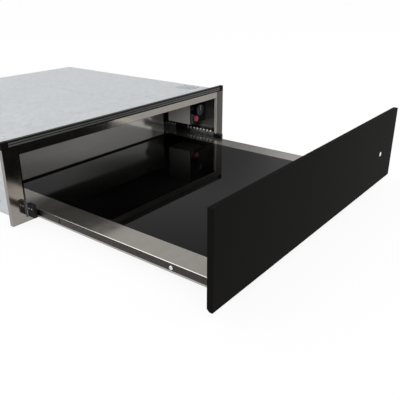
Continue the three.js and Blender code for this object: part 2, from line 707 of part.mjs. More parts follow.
function safetyCutout() {
  const radius = CUTOUT_DIAMETER / 2;
  const flangeRadius = radius + CUTOUT_FLANGE;
  return turnedY([
    [0, 0], [flangeRadius, 0], [flangeRadius, CUTOUT_FLANGE_THICKNESS], [radius, CUTOUT_FLANGE_THICKNESS],
    [radius, CUTOUT_HEIGHT], [0, CUTOUT_HEIGHT],
  ], 0, 0, 20);
}

function addFanAndHeater(housing) {
  piece(housing, 'fan_guard', fanGuard(), galvanised());
  for (const { word, side } of SIDES) {
    piece(housing, `fan_guard_stay_${word}`, guardStay(side), galvanised());
  }
  piece(housing, 'fan_wheel', fanWheel(), brushedSteel(), [0, fanY, FAN_Z]);
  piece(housing, 'fan_motor', fanMotor(), zincPlated(), [0, HOUSING_DEPTH, FAN_Z]);
  piece(housing, 'heating_element', heatingElement(), brushedSteel());
  piece(housing, 'safety_cutout', safetyCutout(), whiteCeramic(), [CUTOUT_FROM_FAN, HOUSING_DEPTH, FAN_Z]);
}

// ---------------------------------------------------------------- mains connection

function cableGland() {
  const outer = GLAND_DIAMETER / 2;
  const bore = GLAND_BORE / 2;
  const gland = turnedY([
    [bore, -GLAND_LENGTH], [outer - GLAND_TAPER, -GLAND_LENGTH], [outer, -GLAND_NUT], [outer, 0],
    [bore, 0], [bore, -GLAND_LENGTH],
  ], 0, 0, 18);
  gland.rotateX(Math.PI / 2);
  return gland;
}

function addMains(housing) {
  const shell = block(TERMINAL_BOX);
  const harnessMouth = rodY(HARNESS_DIAMETER + 2 * SEAT_GAP,
    HARNESS_FROM_TERMINAL.x, HARNESS_FROM_TERMINAL.z, -CUT_PAST, HARNESS_IN_BOX);
  piece(housing, 'terminal_box', cut(shell, harnessMouth), blackPlastic(),
    [terminalX, HOUSING_DEPTH, terminalZ]);
  piece(housing, 'cable_gland', cableGland(), blackPlastic(),
    [terminalX, HOUSING_DEPTH + TERMINAL_BOX.y / 2, terminalZ - TERMINAL_BOX.z / 2]);

  const harnessEnd = HOUSING_DEPTH + HARNESS_IN_BOX - SEAT_GAP;
  const harness = rodY(HARNESS_DIAMETER, 0, 0, controlBoxRearY - SHEET, harnessEnd, 10);
  piece(housing, 'wiring_harness', harness, blackPlastic(), [harnessX, 0, harnessZ]);
}

// ---------------------------------------------------------------- push latch

function addLatch(housing) {
  const z = skirtBottomZ + SKIRT_HEIGHT / 2;
  const socket = rodY(PLUNGER_DIAMETER + 2 * SEAT_GAP, 0, 0, -CUT_PAST, PLUNGER_SOCKET);
  piece(housing, 'push_latch', cut(block(LATCH_BODY), socket), blackPlastic(), [LATCH_X, latchFrontY, z]);

  const radius = PLUNGER_DIAMETER / 2;
  const rearEnd = PLUNGER_SOCKET - PLUNGER_TRAVEL - SEAT_GAP;
  const plunger = turnedY([
    [0, -PLUNGER_PROUD], [radius - PLUNGER_EDGE, -PLUNGER_PROUD], [radius, -PLUNGER_PROUD + PLUNGER_EDGE],
    [radius, rearEnd], [0, rearEnd],
  ], 0, 0, 20);
  piece(housing, 'latch_plunger', plunger, brightSteel(), [LATCH_X, latchFrontY, z]);
}

// ---------------------------------------------------------------- drawer
// Y is measured here from the back of the drawer front.

function addDrawer(drawer) {
  addDrawerFront(drawer);
  addTray(drawer);
  for (const { word, side } of SIDES) {
    addTraySide(drawer, word, side);
  }
}

function addDrawerFront(drawer) {
  const half = PANEL_WIDTH / 2;
  const top = PANEL_BOTTOM_Z + PANEL_HEIGHT;
  const rearY = -BACK_PLATE_THICKNESS;
  const faceY = rearY - PANEL_THICKNESS;
  const section = [
    [faceY, PANEL_BOTTOM_Z + PANEL_EDGE_BEVEL],
    [faceY + PANEL_EDGE_BEVEL, PANEL_BOTTOM_Z],
    [rearY - PANEL_REAR_CHAMFER, PANEL_BOTTOM_Z],
    [rearY, PANEL_BOTTOM_Z + PANEL_REAR_CHAMFER],
    [rearY, top],
    [faceY + PANEL_EDGE_BEVEL, top],
    [faceY, top - PANEL_EDGE_BEVEL],
  ];
  const guideHole = rodY(LIGHT_GUIDE_DIAMETER + 2 * SEAT_GAP, controlX, buttonZ,
    faceY - CUT_PAST, CUT_PAST);
  piece(drawer, 'front_panel', cut(alongX(section, -half, half), guideHole), blackPanel());

  const plate = box([-half + BACK_PLATE_SIDE_INSET, half - BACK_PLATE_SIDE_INSET], [rearY, 0],
    [PANEL_BOTTOM_Z + BACK_PLATE_END_INSET, top - BACK_PLATE_END_INSET]);
  piece(drawer, 'front_back_plate', cut(plate, guideHole), blackPanel());

  piece(drawer, 'indicator_light_guide', lightGuide(faceY), clearLens());
}

// A rod from the drawer's face to just short of the lit button, with a low dome in front.
function lightGuide(faceY) {
  const radius = LIGHT_GUIDE_DIAMETER / 2;
  return turnedY([
    [0, faceY - LIGHT_GUIDE_DOME], [radius - LIGHT_GUIDE_EDGE, faceY], [radius, faceY + LIGHT_GUIDE_EDGE],
    [radius, lightGuideReach], [0, lightGuideReach],
  ], controlX, buttonZ, 20);
}

// A folded frame: a flat flange down each side, a skirt turned down outside it, and
// a ledge all round for the glass. The cross bars run into the middle of the skirts.
function trayFrame() {
  const dropX = glassHalf + SEAT_GAP;
  const ledgeBottomZ = ledgeTopZ - SHEET;
  const deckBottomZ = trayTopZ - SHEET;
  const sideSection = [
    [dropX - GLASS_LEDGE, ledgeBottomZ], [dropX + SHEET, ledgeBottomZ], [dropX + SHEET, deckBottomZ],
    [trayHalf - SHEET, deckBottomZ], [trayHalf - SHEET, skirtBottomZ], [trayHalf, skirtBottomZ],
    [trayHalf, trayTopZ], [dropX, trayTopZ], [dropX, ledgeTopZ], [dropX - GLASS_LEDGE, ledgeTopZ],
  ];
  const frontSection = [
    [0, skirtBottomZ + SHEET], [SHEET, skirtBottomZ + SHEET], [SHEET, ledgeBottomZ],
    [GLASS_LEDGE, ledgeBottomZ], [GLASS_LEDGE, ledgeTopZ], [0, ledgeTopZ],
  ];
  const rearSection = [
    [trayLength - SHEET, skirtBottomZ + SHEET], [trayLength, skirtBottomZ + SHEET], [trayLength, trayTopZ],
    [rearWallY, trayTopZ], [rearWallY, deckBottomZ], [trayLength - SHEET, deckBottomZ],
    [trayLength - SHEET, ledgeTopZ], [rearWallY - GLASS_LEDGE, ledgeTopZ],
    [rearWallY - GLASS_LEDGE, ledgeBottomZ], [trayLength - SHEET, ledgeBottomZ],
  ];
  const barHalf = trayHalf - SHEET / 2;
  const solids = [alongX(frontSection, -barHalf, barHalf), alongX(rearSection, -barHalf, barHalf)];
  for (const { side } of SIDES) {
    solids.push(alongY(sideSection.map(([x, z]) => [side * x, z]), 0, trayLength));
  }
  return joined(...solids);
}

// A flat wall that stands on the rear deck, stiffened by a rail behind its top edge.
function addRearWall(drawer) {
  const topZ = trayTopZ + REAR_WALL_HEIGHT;
  const width = [-rearWallHalf, rearWallHalf];
  const backY = rearWallY + SHEET;
  const wall = box(width, [rearWallY, backY], [trayTopZ, topZ]);
  const rail = box(width, [backY, backY + REAR_RAIL_DEPTH], [topZ - REAR_RAIL_HEIGHT, topZ]);
  piece(drawer, 'tray_rear_wall', wall, brushedSteel());
  piece(drawer, 'rear_wall_rail', rail, brushedSteel());
}

function addTray(drawer) {
  piece(drawer, 'tray_frame', trayFrame(), polishedSteel());
  const glass = box([-glassHalf, glassHalf], [SEAT_GAP, SEAT_GAP + glassLength], [glassBottomZ, trayTopZ]);
  piece(drawer, 'glass_base', glass, blackGlass());
  const seal = box([-glassHalf, glassHalf], [rearWallY - SEAL_THICKNESS, rearWallY],
    [glassBottomZ, trayTopZ + SEAL_PROUD]);
  piece(drawer, 'rear_seal', seal, blackPlastic());
  addRearWall(drawer);
  const panHalf = trayHalf - SHEET;
  const pan = box([-panHalf, panHalf], [SHEET, trayLength - SHEET],
    [skirtBottomZ, skirtBottomZ + PAN_THICKNESS]);
  piece(drawer, 'tray_under_pan', pan, galvanised());
}

function innerSlide(side) {
  const bottom = innerTopZ - INNER_HEIGHT;
  const x = across(side, trayHalf, innerOuterX);
  const middleZ = (innerTopZ + bottom) / 2;
  const slot = box(across(side, trayHalf - CUT_PAST, innerOuterX + CUT_PAST),
    [INNER_SLOT_FROM_FRONT, INNER_SLOT_FROM_FRONT + INNER_SLOT_WIDTH],
    [middleZ - INNER_SLOT_LENGTH / 2, middleZ + INNER_SLOT_LENGTH / 2]);
  return cut(box(x, [0, innerLength], [bottom, innerTopZ]), slot);
}

function bracket(side) {
  const x0 = glassHalf + BRACKET_INSET;
  const width = across(side, x0, x0 + BRACKET_WIDTH);
  const gussetSection = [
    [0, trayTopZ], [BRACKET_REACH, trayTopZ], [BRACKET_THICKNESS, bracketTopZ], [0, bracketTopZ],
  ];
  return joined(
    box(width, [0, BRACKET_THICKNESS], [trayTopZ, bracketTopZ]),
    box(width, [0, BRACKET_REACH], [trayTopZ, trayTopZ + BRACKET_THICKNESS]),
    alongX(gussetSection, ...across(side, x0, x0 + BRACKET_THICKNESS)),
  );
}

// Screw head with a cross-shaped recess, facing away from the piece that it holds.
function screwHead(direction) {
  const radius = SCREW_HEAD_DIAMETER / 2;
  const head = turnedY([
    [0, 0], [radius, 0], [radius, SCREW_HEAD_SHOULDER], [SCREW_HEAD_TOP_DIAMETER / 2, SCREW_HEAD_HEIGHT],
    [0, SCREW_HEAD_HEIGHT],
  ], 0, 0, 14);
  const narrow = [-SCREW_RECESS.width / 2, SCREW_RECESS.width / 2];
  const long = [-SCREW_RECESS.length / 2, SCREW_RECESS.length / 2];
  const depth = [SCREW_HEAD_HEIGHT - SCREW_RECESS.depth, SCREW_HEAD_HEIGHT + CUT_PAST];
  const screw = cut(head, box(narrow, depth, long), box(long, depth, narrow));
  screw.applyQuaternion(new THREE.Quaternion().setFromUnitVectors(new THREE.Vector3(0, 1, 0), direction));
  return screw;
}

function addTraySide(drawer, word, side) {
  piece(drawer, `slide_inner_${word}`, innerSlide(side), zincPlated());

  const glide = box(across(side, innerOuterX, middleOuterX - SHEET - SLIDE_PLAY),
    [innerLength - REAR_GLIDE_LENGTH, innerLength],
    [middleBottomZ + SHEET + SLIDE_PLAY, middleTopZ - SHEET - SLIDE_PLAY]);
  piece(drawer, `slide_rear_glide_${word}`, glide, blackPlastic());

  const guideBlock = box(across(side, innerOuterX - GUIDE_BLOCK_WIDTH, innerOuterX),
    [trayLength - GUIDE_BLOCK_LENGTH, trayLength], [trayTopZ, trayTopZ + GUIDE_BLOCK_HEIGHT]);
  piece(drawer, `rear_guide_block_${word}`, guideBlock, blackPlastic());

  piece(drawer, `front_bracket_${word}`, bracket(side), galvanised());

  const outward = new THREE.Vector3(side, 0, 0);
  const screwZ = innerTopZ - INNER_HEIGHT / 2;
  const screwPlaces = { front: TRAY_SCREW_FROM_FRONT, rear: trayLength - TRAY_SCREW_FROM_REAR };
  for (const [end, y] of Object.entries(screwPlaces)) {
    piece(drawer, `tray_screw_${word}_${end}`, screwHead(outward), brightSteel(),
      [side * innerOuterX, y, screwZ]);
  }

  const backward = new THREE.Vector3(0, 1, 0);
  const bracketMiddleX = glassHalf + BRACKET_INSET + (BRACKET_THICKNESS + BRACKET_WIDTH) / 2;
  piece(drawer, `bracket_screw_${word}`, screwHead(backward), brightSteel(),
    [side * bracketMiddleX, BRACKET_THICKNESS, bracketTopZ - BRACKET_SCREW_BELOW_TOP]);
}

// ---------------------------------------------------------------- assembly

const warmingDrawer = new THREE.Group();
const housing = new THREE.Group();
const middles = new THREE.Group();
const cages = new THREE.Group();
const drawer = new THREE.Group();
drawer.position.set(0, drawerOpenY, 0);
warmingDrawer.add(housing, middles, cages, drawer);

addHousing(housing);
addSlides(housing, middles, cages);
addControls(housing);
addFanAndHeater(housing);
addMains(housing);
addLatch(housing);
addDrawer(drawer);

export default warmingDrawer;
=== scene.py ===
"""A built-in warming drawer, pulled open: its looks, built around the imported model."""

import json
import math
from functools import cache

import bmesh
import bpy
from mathutils import Matrix, Vector

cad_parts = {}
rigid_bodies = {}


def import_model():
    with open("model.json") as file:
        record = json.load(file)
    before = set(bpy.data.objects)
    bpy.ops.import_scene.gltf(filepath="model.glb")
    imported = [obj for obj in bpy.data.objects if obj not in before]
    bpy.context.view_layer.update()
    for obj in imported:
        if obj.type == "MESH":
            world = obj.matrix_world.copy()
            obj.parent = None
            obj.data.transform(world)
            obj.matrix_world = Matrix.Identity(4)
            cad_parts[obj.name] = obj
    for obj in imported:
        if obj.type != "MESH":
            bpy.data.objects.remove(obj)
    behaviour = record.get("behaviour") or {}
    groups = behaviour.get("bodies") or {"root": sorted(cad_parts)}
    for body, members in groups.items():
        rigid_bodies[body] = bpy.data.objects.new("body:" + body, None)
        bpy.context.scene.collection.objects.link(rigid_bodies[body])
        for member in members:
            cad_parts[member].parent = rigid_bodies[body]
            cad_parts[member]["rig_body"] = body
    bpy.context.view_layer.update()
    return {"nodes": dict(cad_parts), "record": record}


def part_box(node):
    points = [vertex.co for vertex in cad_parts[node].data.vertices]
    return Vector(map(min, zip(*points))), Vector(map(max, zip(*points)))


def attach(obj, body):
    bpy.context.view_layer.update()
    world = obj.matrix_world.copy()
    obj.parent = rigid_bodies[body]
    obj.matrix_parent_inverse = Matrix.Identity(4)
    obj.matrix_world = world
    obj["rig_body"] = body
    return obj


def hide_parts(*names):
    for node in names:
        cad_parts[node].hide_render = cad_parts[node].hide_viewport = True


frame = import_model()

bl_info = {
    "name": "Warming drawer",
    "version": (1, 0, 0),
    "blender": (4, 5, 0),
    "location": "3D View > Sidebar > Warming drawer",
    "description": "Models the visible pieces and finishes of a built-in warming drawer",
    "category": "Object",
}

MM = 0.001
SIDES = (("left", -1), ("right", 1))
NEAR = 0.02 * MM
# the flat end of a round piece is larger than this, and the strips of its rounding are smaller
DISC = 40 * MM * MM
# how far back the screws of the cover and of the walls' upper rows stand
SCREW_ROW = (30 * MM, 260 * MM, 490 * MM)


# ------------------------------------------------------------------ selecting and shaping

def nothing_selected():
    if bpy.context.mode != "OBJECT":
        bpy.ops.object.mode_set(mode="OBJECT")
    bpy.ops.object.select_all(action="DESELECT")


def work_on(piece):
    """Selects one piece alone and makes it the active one."""
    nothing_selected()
    piece.select_set(True)
    bpy.context.view_layer.objects.active = piece


def select_in(piece, kind, wanted):
    """Opens a piece in edit mode, with only the faces or edges selected that the test accepts."""
    work_on(piece)
    bpy.ops.object.mode_set(mode="EDIT")
    bpy.ops.mesh.select_mode(type=kind)
    bpy.ops.mesh.select_all(action="DESELECT")
    mesh = bmesh.from_edit_mesh(piece.data)
    for part in mesh.faces if kind == "FACE" else mesh.edges:
        if wanted(part):
            part.select_set(True)
    bmesh.update_edit_mesh(piece.data)


def all_below(axis, place):
    """A test for the edges that lie wholly at or below a place on an axis."""
    k = "XYZ".index(axis)
    return lambda edge: all(corner.co[k] < place + NEAR for corner in edge.verts)


def all_above(axis, place):
    """A test for the edges that lie wholly at or above a place on an axis."""
    k = "XYZ".index(axis)
    return lambda edge: all(corner.co[k] > place - NEAR for corner in edge.verts)


def run_of(edge, axis):
    """How far an edge runs along an axis."""
    k = "XYZ".index(axis)
    return abs(edge.verts[0].co[k] - edge.verts[1].co[k])


def all_selected_in(piece):
    work_on(piece)
    bpy.ops.object.mode_set(mode="EDIT")
    bpy.ops.mesh.select_all(action="SELECT")


def leave_edit():
    bpy.ops.object.mode_set(mode="OBJECT")


def placed():
    """Applies the place and turn of what was just added to its mesh."""
    bpy.ops.object.transform_apply(location=True, rotation=True, scale=True)
    return bpy.context.active_object


def block(first, second):
    """A box-shaped start between two corners, in either order on each axis."""
    nothing_selected()
    low, high = (Vector([pick(pair) for pair in zip(first, second)]) for pick in (min, max))
    bpy.ops.mesh.primitive_cube_add(size=1, location=(low + high) / 2, scale=high - low)
    return placed()


TURN_TO = {"X": (0, math.pi / 2, 0), "Y": (math.pi / 2, 0, 0), "Z": (0, 0, 0)}


def round_bar(radius, start, length, axis="Y", sides=48):
    """A round start that runs along an axis from the middle of one end."""
    nothing_selected()
    step = Vector([length / 2 if axis == name else 0 for name in "XYZ"])
    bpy.ops.mesh.primitive_cylinder_add(vertices=sides, radius=radius, depth=abs(length),
                                        location=Vector(start) + step, rotation=TURN_TO[axis])
    return placed()


def bevel_edges(piece, wanted, width, segments=3):
    select_in(piece, "EDGE", wanted)
    bpy.ops.mesh.bevel(offset=width, segments=segments, profile=0.5, affect="EDGES")
    leave_edit()


def soften(piece, width, segments=2, angle=35):
    """Rounds every edge that turns by more than the angle."""
    work_on(piece)
    bpy.ops.object.modifier_add(type="BEVEL")
    rounding = piece.modifiers[-1]
    rounding.width = width
    rounding.segments = segments
    rounding.limit_method = "ANGLE"
    rounding.angle_limit = math.radians(angle)
    rounding.harden_normals = False
    bpy.ops.object.modifier_apply(modifier=rounding.name)
    return piece


def step_face(piece, wanted, steps):
    """Insets the wanted face and moves it along Y, once for each pair of an inset and a move."""
    select_in(piece, "FACE", wanted)
    for inset, move in steps:
        bpy.ops.mesh.inset(thickness=inset)
        bpy.ops.transform.translate(value=(0, move, 0))
    leave_edit()


def combine(piece, tool, how="DIFFERENCE"):
    """Cuts a tool out of a piece, or joins it on, and takes the tool away."""
    work_on(piece)
    bpy.ops.object.modifier_add(type="BOOLEAN")
    joint = piece.modifiers[-1]
    joint.operation = how
    joint.solver = "EXACT"
    joint.object = tool
    bpy.ops.object.modifier_apply(modifier=joint.name)
    bpy.data.objects.remove(tool)


def together(pieces):
    """Makes several loose pieces one object."""
    nothing_selected()
    for piece in pieces:
        piece.select_set(True)
    bpy.context.view_layer.objects.active = pieces[0]
    if len(pieces) > 1:
        bpy.ops.object.join()
    return pieces[0]


def copies(master, matrices):
    """Copies a piece that was modelled at the origin, each copy with its own mesh, as one object."""
    made = []
    for matrix in matrices:
        work_on(master)
        bpy.ops.object.duplicate()
        copy = bpy.context.active_object
        copy.matrix_world = matrix
        made.append(placed())
    bpy.data.objects.remove(master)
    return together(made)


def copy_of(node):
    """A copy of a CAD node, merged, with the lines across its flat faces taken away."""
    nothing_selected()
    piece = bpy.data.objects.new(node + "_start", frame["nodes"][node].data.copy())
    bpy.context.scene.collection.objects.link(piece)
    work_on(piece)
    if piece.data.has_custom_normals:
        bpy.ops.mesh.customdata_custom_splitnormals_clear()
    all_selected_in(piece)
    bpy.ops.mesh.remove_doubles(threshold=1e-6)
    bpy.ops.mesh.dissolve_limited(angle_limit=math.radians(0.5))
    leave_edit()
    return piece


def divide(piece, axis, places):
    """Adds edge lines across a piece where a plane square to the axis meets it."""
    normal = Vector([1 if axis == name else 0 for name in "XYZ"])
    for place in places:
        all_selected_in(piece)
        bpy.ops.mesh.bisect(plane_co=normal * place, plane_no=normal)
        leave_edit()


def press_bead(piece, axis, first, second, depth, slope):
    """Presses one raised bead in a sheet: axis is the way the sheet faces, first and second the
    ranges of the other two axes in their order, and the bead rises by depth over a slope."""
    others = [name for name in "XYZ" if name != axis]
    for name, span in zip(others, (first, second)):
        divide(piece, name, span)
    facing = "XYZ".index(axis)
    across = ["XYZ".index(name) for name in others]

    def in_bead(face):
        middle = face.calc_center_median()
        flat = abs(face.normal[facing]) > 0.9
        return flat and all(span[0] < middle[k] < span[1] for k, span in zip(across, (first, second)))

    select_in(piece, "FACE", in_bead)
    bpy.ops.mesh.inset(thickness=slope, use_even_offset=True)
    bpy.ops.transform.translate(value=[depth if name == axis else 0 for name in "XYZ"])
    leave_edit()


def press_bead_row(piece, count, pitch, width, reach, depth, slope, shift=0.0):
    """Presses beads side by side in a flat sheet, each from the front to the back of the reach."""
    for k in range(count):
        x = (k - (count - 1) / 2) * pitch + shift
        press_bead(piece, "Z", (x - width / 2, x + width / 2), reach, depth, slope)


def finish_piece(piece, name, finish, body, stands_for=(), smooth_angle=35):
    """Names a shaped piece, gives it its finish, and lets it move with its body.

    The normals are weighted by face area, so that a flat sheet mirrors flat up to its rounded edges."""
    work_on(piece)
    piece.name = name
    piece.data.name = name
    bpy.ops.object.shade_smooth_by_angle(angle=math.radians(smooth_angle))
    bpy.ops.object.modifier_add(type="WEIGHTED_NORMAL")
    flatness = piece.modifiers[-1]
    flatness.weight = 100
    flatness.keep_sharp = True
    bpy.ops.object.modifier_apply(modifier=flatness.name)
    piece.data.materials.clear()
    piece.data.materials.append(finish)
    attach(piece, body)
    if stands_for:
        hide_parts(*stands_for)


def body_of(node):
    return frame["nodes"][node]["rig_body"]


def slot_of(node):
    return next(part["material_slot"] for part in frame["record"]["subparts"] if part["node"] == node)


def stand_in(piece, node, finish=None, smooth_angle=35):
    """Finishes a piece that takes the place of one CAD node."""
    slot = slot_of(node)
    name = "shaped_" + node
    finish_piece(piece, name, finish or FINISHES[slot](), body_of(node), [node], smooth_angle)


def repaint(piece, finish, wanted):
    """Gives the faces that the test accepts a further finish."""
    piece.data.materials.append(finish)
    for face in piece.data.polygons:
        if wanted(face):
            face.material_index = len(piece.data.materials) - 1


def screw_master(radius, height):
    """A pan-head screw with a cross recess, standing on the origin and facing up."""
    head = round_bar(radius, (0, 0, 0), height, "Z", 28)
    bevel_edges(head, all_above("Z", height), height * 0.55, 4)
    arm, half = radius * 0.62, radius * 0.13
    for low, high in (((-arm, -half), (arm, half)), ((-half, -arm), (half, arm))):
        combine(head, block((*low, height * 0.45), (*high, height * 1.5)))
    return head


def softened_block(node, width, segments=2, finish=None):
    """A block in the box of a CAD node, with rounded edges, that takes the node's place."""
    stand_in(soften(block(*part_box(node)), width, segments), node, finish)


def softened_copy(node, width, segments=2, angle=35):
    """A copy of a CAD node, with rounded edges, that takes the node's place."""
    stand_in(soften(copy_of(node), width, segments, angle), node)


def box_of(node):
    """Two corners of the box of a CAD node, and its middle."""
    low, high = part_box(node)
    return low, high, (low + high) / 2


def outward(side):
    """The way that the outer face of a piece looks, on the left or the right."""
    return "X" if side > 0 else "-X"


def inner_and_outer(low, high, side):
    """The two places across the object at which a piece ends, the one nearer the middle first."""
    return (low.x, high.x) if side > 0 else (high.x, low.x)


FACING = {
    "X": Matrix.Rotation(math.pi / 2, 4, "Y"), "-X": Matrix.Rotation(-math.pi / 2, 4, "Y"),
    "Y": Matrix.Rotation(-math.pi / 2, 4, "X"), "-Y": Matrix.Rotation(math.pi / 2, 4, "X"),
    "Z": Matrix.Identity(4),
}


def screws(name, places, facing, radius=3 * MM, height=1.6 * MM, body="housing"):
    """A set of like screw heads that face one way."""
    matrices = [Matrix.Translation(place) @ FACING[facing] for place in places]
    heads = copies(screw_master(radius, height), matrices)
    finish_piece(heads, name, bright_bearing_steel(), body)


def node_screw(node, facing):
    """A screw head in the box of a CAD node, facing along X or Y, that takes the node's place."""
    low, high, foot = box_of(node)
    along, across = (0, 1) if "X" in facing else (1, 0)
    foot[along] = (high if facing.startswith("-") else low)[along]
    head = screw_master((high[across] - low[across]) / 2, high[along] - low[along])
    stand_in(copies(head, [Matrix.Translation(foot) @ FACING[facing]]), node)


def wire_tabs(name, places, width, length):
    """Flat push-on tabs for wires, which stand back from the housing's fittings."""
    thickness = 0.8 * MM
    tab = block((-thickness / 2, 0, -width / 2), (thickness / 2, length, width / 2))
    soften(tab, 0.2 * MM)
    tabs = copies(tab, [Matrix.Translation(place) for place in places])
    finish_piece(tabs, name, zinc_plated_steel(), "housing")


# ------------------------------------------------------------------ finishes

def linear(value):
    """An sRGB hex colour as the linear colour that a shader takes. A colour setting is linear already."""
    if not isinstance(value, str):
        return tuple(value)
    levels = [int(value[k:k + 2], 16) / 255 for k in (1, 3, 5)]
    return (*[c / 12.92 if c <= 0.04045 else ((c + 0.055) / 1.055) ** 2.4 for c in levels], 1.0)


def add_node(tree, kind, values=None, links=None, **settings):
    """Adds a node with its settings, the values of its sockets, and what feeds them."""
    node = tree.nodes.new("ShaderNode" + kind)
    for name, value in settings.items():
        setattr(node, name, value)
    for socket, value in (values or {}).items():
        node.inputs[socket].default_value = value
    feed(tree, node, links or {})
    return node


def feed(tree, node, links):
    """Links sockets of a node to what feeds them, which is a socket or a node's first output."""
    for socket, source in links.items():
        outputs = getattr(source, "outputs", None)
        tree.links.new(outputs[0] if outputs else source, node.inputs[socket])


def empty_tree(owner):
    """The nodes of a material or a world, with none in them yet."""
    owner.use_nodes = True
    owner.node_tree.nodes.clear()
    return owner.node_tree


def new_finish(name, values):
    """A material with one shader, and the socket that gives places on the object in metres."""
    material = bpy.data.materials.new(name)
    tree = empty_tree(material)
    shader = add_node(tree, "BsdfPrincipled", values)
    add_node(tree, "OutputMaterial", links={"Surface": shader})
    place = add_node(tree, "TexCoord").outputs["Object"]
    return material, tree, shader, place


def from_to(low, high):
    """The values that spread the middle of a random pattern over a range."""
    return {"From Min": 0.3, "From Max": 0.7, "To Min": low, "To Max": high}


def colours(first, second):
    """The values that go from one colour to the other; the colour is a mix node's third output."""
    return {6: linear(first), 7: linear(second)}


def chosen(name):
    """The two tones, dark and light, of a finish whose colours are settings."""
    settings = bpy.context.scene.warming_drawer.finishes
    return getattr(settings, name + "_dark"), getattr(settings, name + "_light")


def vary(tree, shader, pattern, tones, gloss=None, relief=None):
    """Lets one pattern steer a finish: its colour between two tones, its roughness between two
    values, and its relief by a strength and a height."""
    share = add_node(tree, "MapRange", from_to(0, 1), {"Value": pattern})
    tone = add_node(tree, "Mix", colours(*tones), {0: share}, data_type="RGBA")
    feed(tree, shader, {"Base Color": tone.outputs[2]})
    if gloss:
        dulling = add_node(tree, "MapRange", from_to(*gloss), {"Value": pattern})
        feed(tree, shader, {"Roughness": dulling})
    if relief:
        bump = add_node(tree, "Bump", {"Strength": relief[0], "Distance": relief[1]}, {"Height": pattern})
        feed(tree, shader, {"Normal": bump})
    return share


def clouded(name, values, size, tones, gloss=None, relief=None, stretch=None, wavy=False):
    """A finish that one soft random pattern steers. A stretch draws the pattern out along an axis,
    and a wavy one mirrors like a pressed sheet, with slight, wide waves."""
    material, tree, shader, place = new_finish(name, values)
    if stretch:
        place = add_node(tree, "Mapping", {"Scale": stretch}, {"Vector": place})
    pattern = add_node(tree, "TexNoise", {"Scale": 1 / size}, {"Vector": place})
    vary(tree, shader, pattern, tones, gloss, relief)
    if wavy:
        waves = add_node(tree, "TexNoise", {"Scale": 1 / (90 * MM), "Detail": 0.0}, {"Vector": place})
        bump = add_node(tree, "Bump", {"Strength": 1.0, "Distance": 0.03 * MM}, {"Height": waves})
        feed(tree, shader, {"Normal": bump})
    return material


# each finish is made the first time that it is asked for, and the same one is handed out after that
@cache
def polished_stainless():
    """Stainless sheet, bright rolled: a clear mirror, with the slight waves of a pressed sheet."""
    return clouded("polished_stainless_steel", {"Metallic": 1.0}, 9 * MM,
                   ("#8B8781", "#918D87"), (0.10, 0.14), wavy=True)


@cache
def hazy_stainless():
    """Stainless sheet, bright but wiped and handled: a mirror under a thin grey haze of fine scratches."""
    return clouded("hazy_polished_stainless_steel", {"Metallic": 0.9}, 25 * MM,
                   ("#A5A19A", "#ADA9A2"), (0.11, 0.16), wavy=True)


@cache
def satin_stainless():
    """Stainless sheet, ground to a satin skin from side to side and then skin rolled: it draws
    reflections out up and down, and shows a fainter sharp one over them."""
    material, tree, shader, place = new_finish("satin_stainless_steel", {
        "Metallic": 1.0, "Anisotropic": 0.8, "Coat Weight": 1.0, "Coat IOR": 2.4, "Coat Roughness": 0.1})
    # real lines are about 0.1 mm apart; they are drawn at 0.6 mm, to show
    drawn = add_node(tree, "Mapping", {"Scale": (0.012, 1, 1)}, {"Vector": place})
    lines = add_node(tree, "TexNoise", {"Scale": 1 / (0.6 * MM)}, {"Vector": drawn})
    vary(tree, shader, lines, ("#504E4A", "#585652"), (0.44, 0.5))
    feed(tree, shader, {"Tangent": add_node(tree, "CombineXYZ", {"Z": 1.0})})
    return material


@cache
def upright_brushed_stainless():
    """Stainless sheet, brushed up and down, in a darker grey that is painted shade: drawn out sideways into soft bands.
    """
    material, tree, shader, place = new_finish("upright_brushed_stainless_steel", {
        "Metallic": 1.0, "Roughness": 0.34, "Anisotropic": 0.8})
    # real lines are about 0.1 mm apart; they are drawn at 0.6 mm, to show
    drawn = add_node(tree, "Mapping", {"Scale": (1, 1, 0.012)}, {"Vector": place})
    lines = add_node(tree, "TexNoise", {"Scale": 1 / (0.6 * MM)}, {"Vector": drawn})
    bands = add_node(tree, "TexNoise", {"Scale": 1 / (7 * MM), "Detail": 0.0}, {"Vector": drawn})
    both = add_node(tree, "Math", {2: 0.5}, {0: lines, 1: bands}, operation="MULTIPLY_ADD")
    share = add_node(tree, "MapRange", {
        "From Min": 0.55, "From Max": 0.95, "To Min": 0, "To Max": 1}, {"Value": both})
    tone = add_node(tree, "Mix", colours("#4C4945", "#5E5B57"), {0: share}, data_type="RGBA")
    along = add_node(tree, "CombineXYZ", {"X": 1.0})
    feed(tree, shader, {"Base Color": tone.outputs[2], "Tangent": along})
    return material


@cache
def brushed_stainless():
    """Stainless sheet, belt-brushed from front to back: fine lines that drag the reflections out, in pale, mostly matt
    tones that are painted light.
    """
    # real lines are about 0.1 mm apart; they are drawn at 0.5 mm, to show
    return clouded("brushed_stainless_steel", {"Metallic": 0.25}, 0.5 * MM,
                   ("#D2D0C8", "#DEDCD4"), (0.46, 0.54), (0.35, 0.02 * MM), (1, 0.017, 1))


@cache
def galvanised_sheet():
    """Hot-dip galvanised sheet, passivated: a pale grey skin with faint crystals."""
    material, tree, shader, place = new_finish("galvanised_sheet_steel", {"Metallic": 0.2, "Specular IOR Level": 0.3})
    crystals = add_node(tree, "TexVoronoi", {"Scale": 1 / (8 * MM)}, {"Vector": place})
    shade = add_node(tree, "SeparateColor", links={"Color": crystals.outputs["Color"]})
    tone = add_node(tree, "Mix", colours(*chosen("sheet")), {0: shade}, data_type="RGBA")
    gloss = add_node(tree, "MapRange", {"To Min": 0.48, "To Max": 0.58}, {"Value": shade})
    feed(tree, shader, {"Base Color": tone.outputs[2], "Roughness": gloss})
    return material


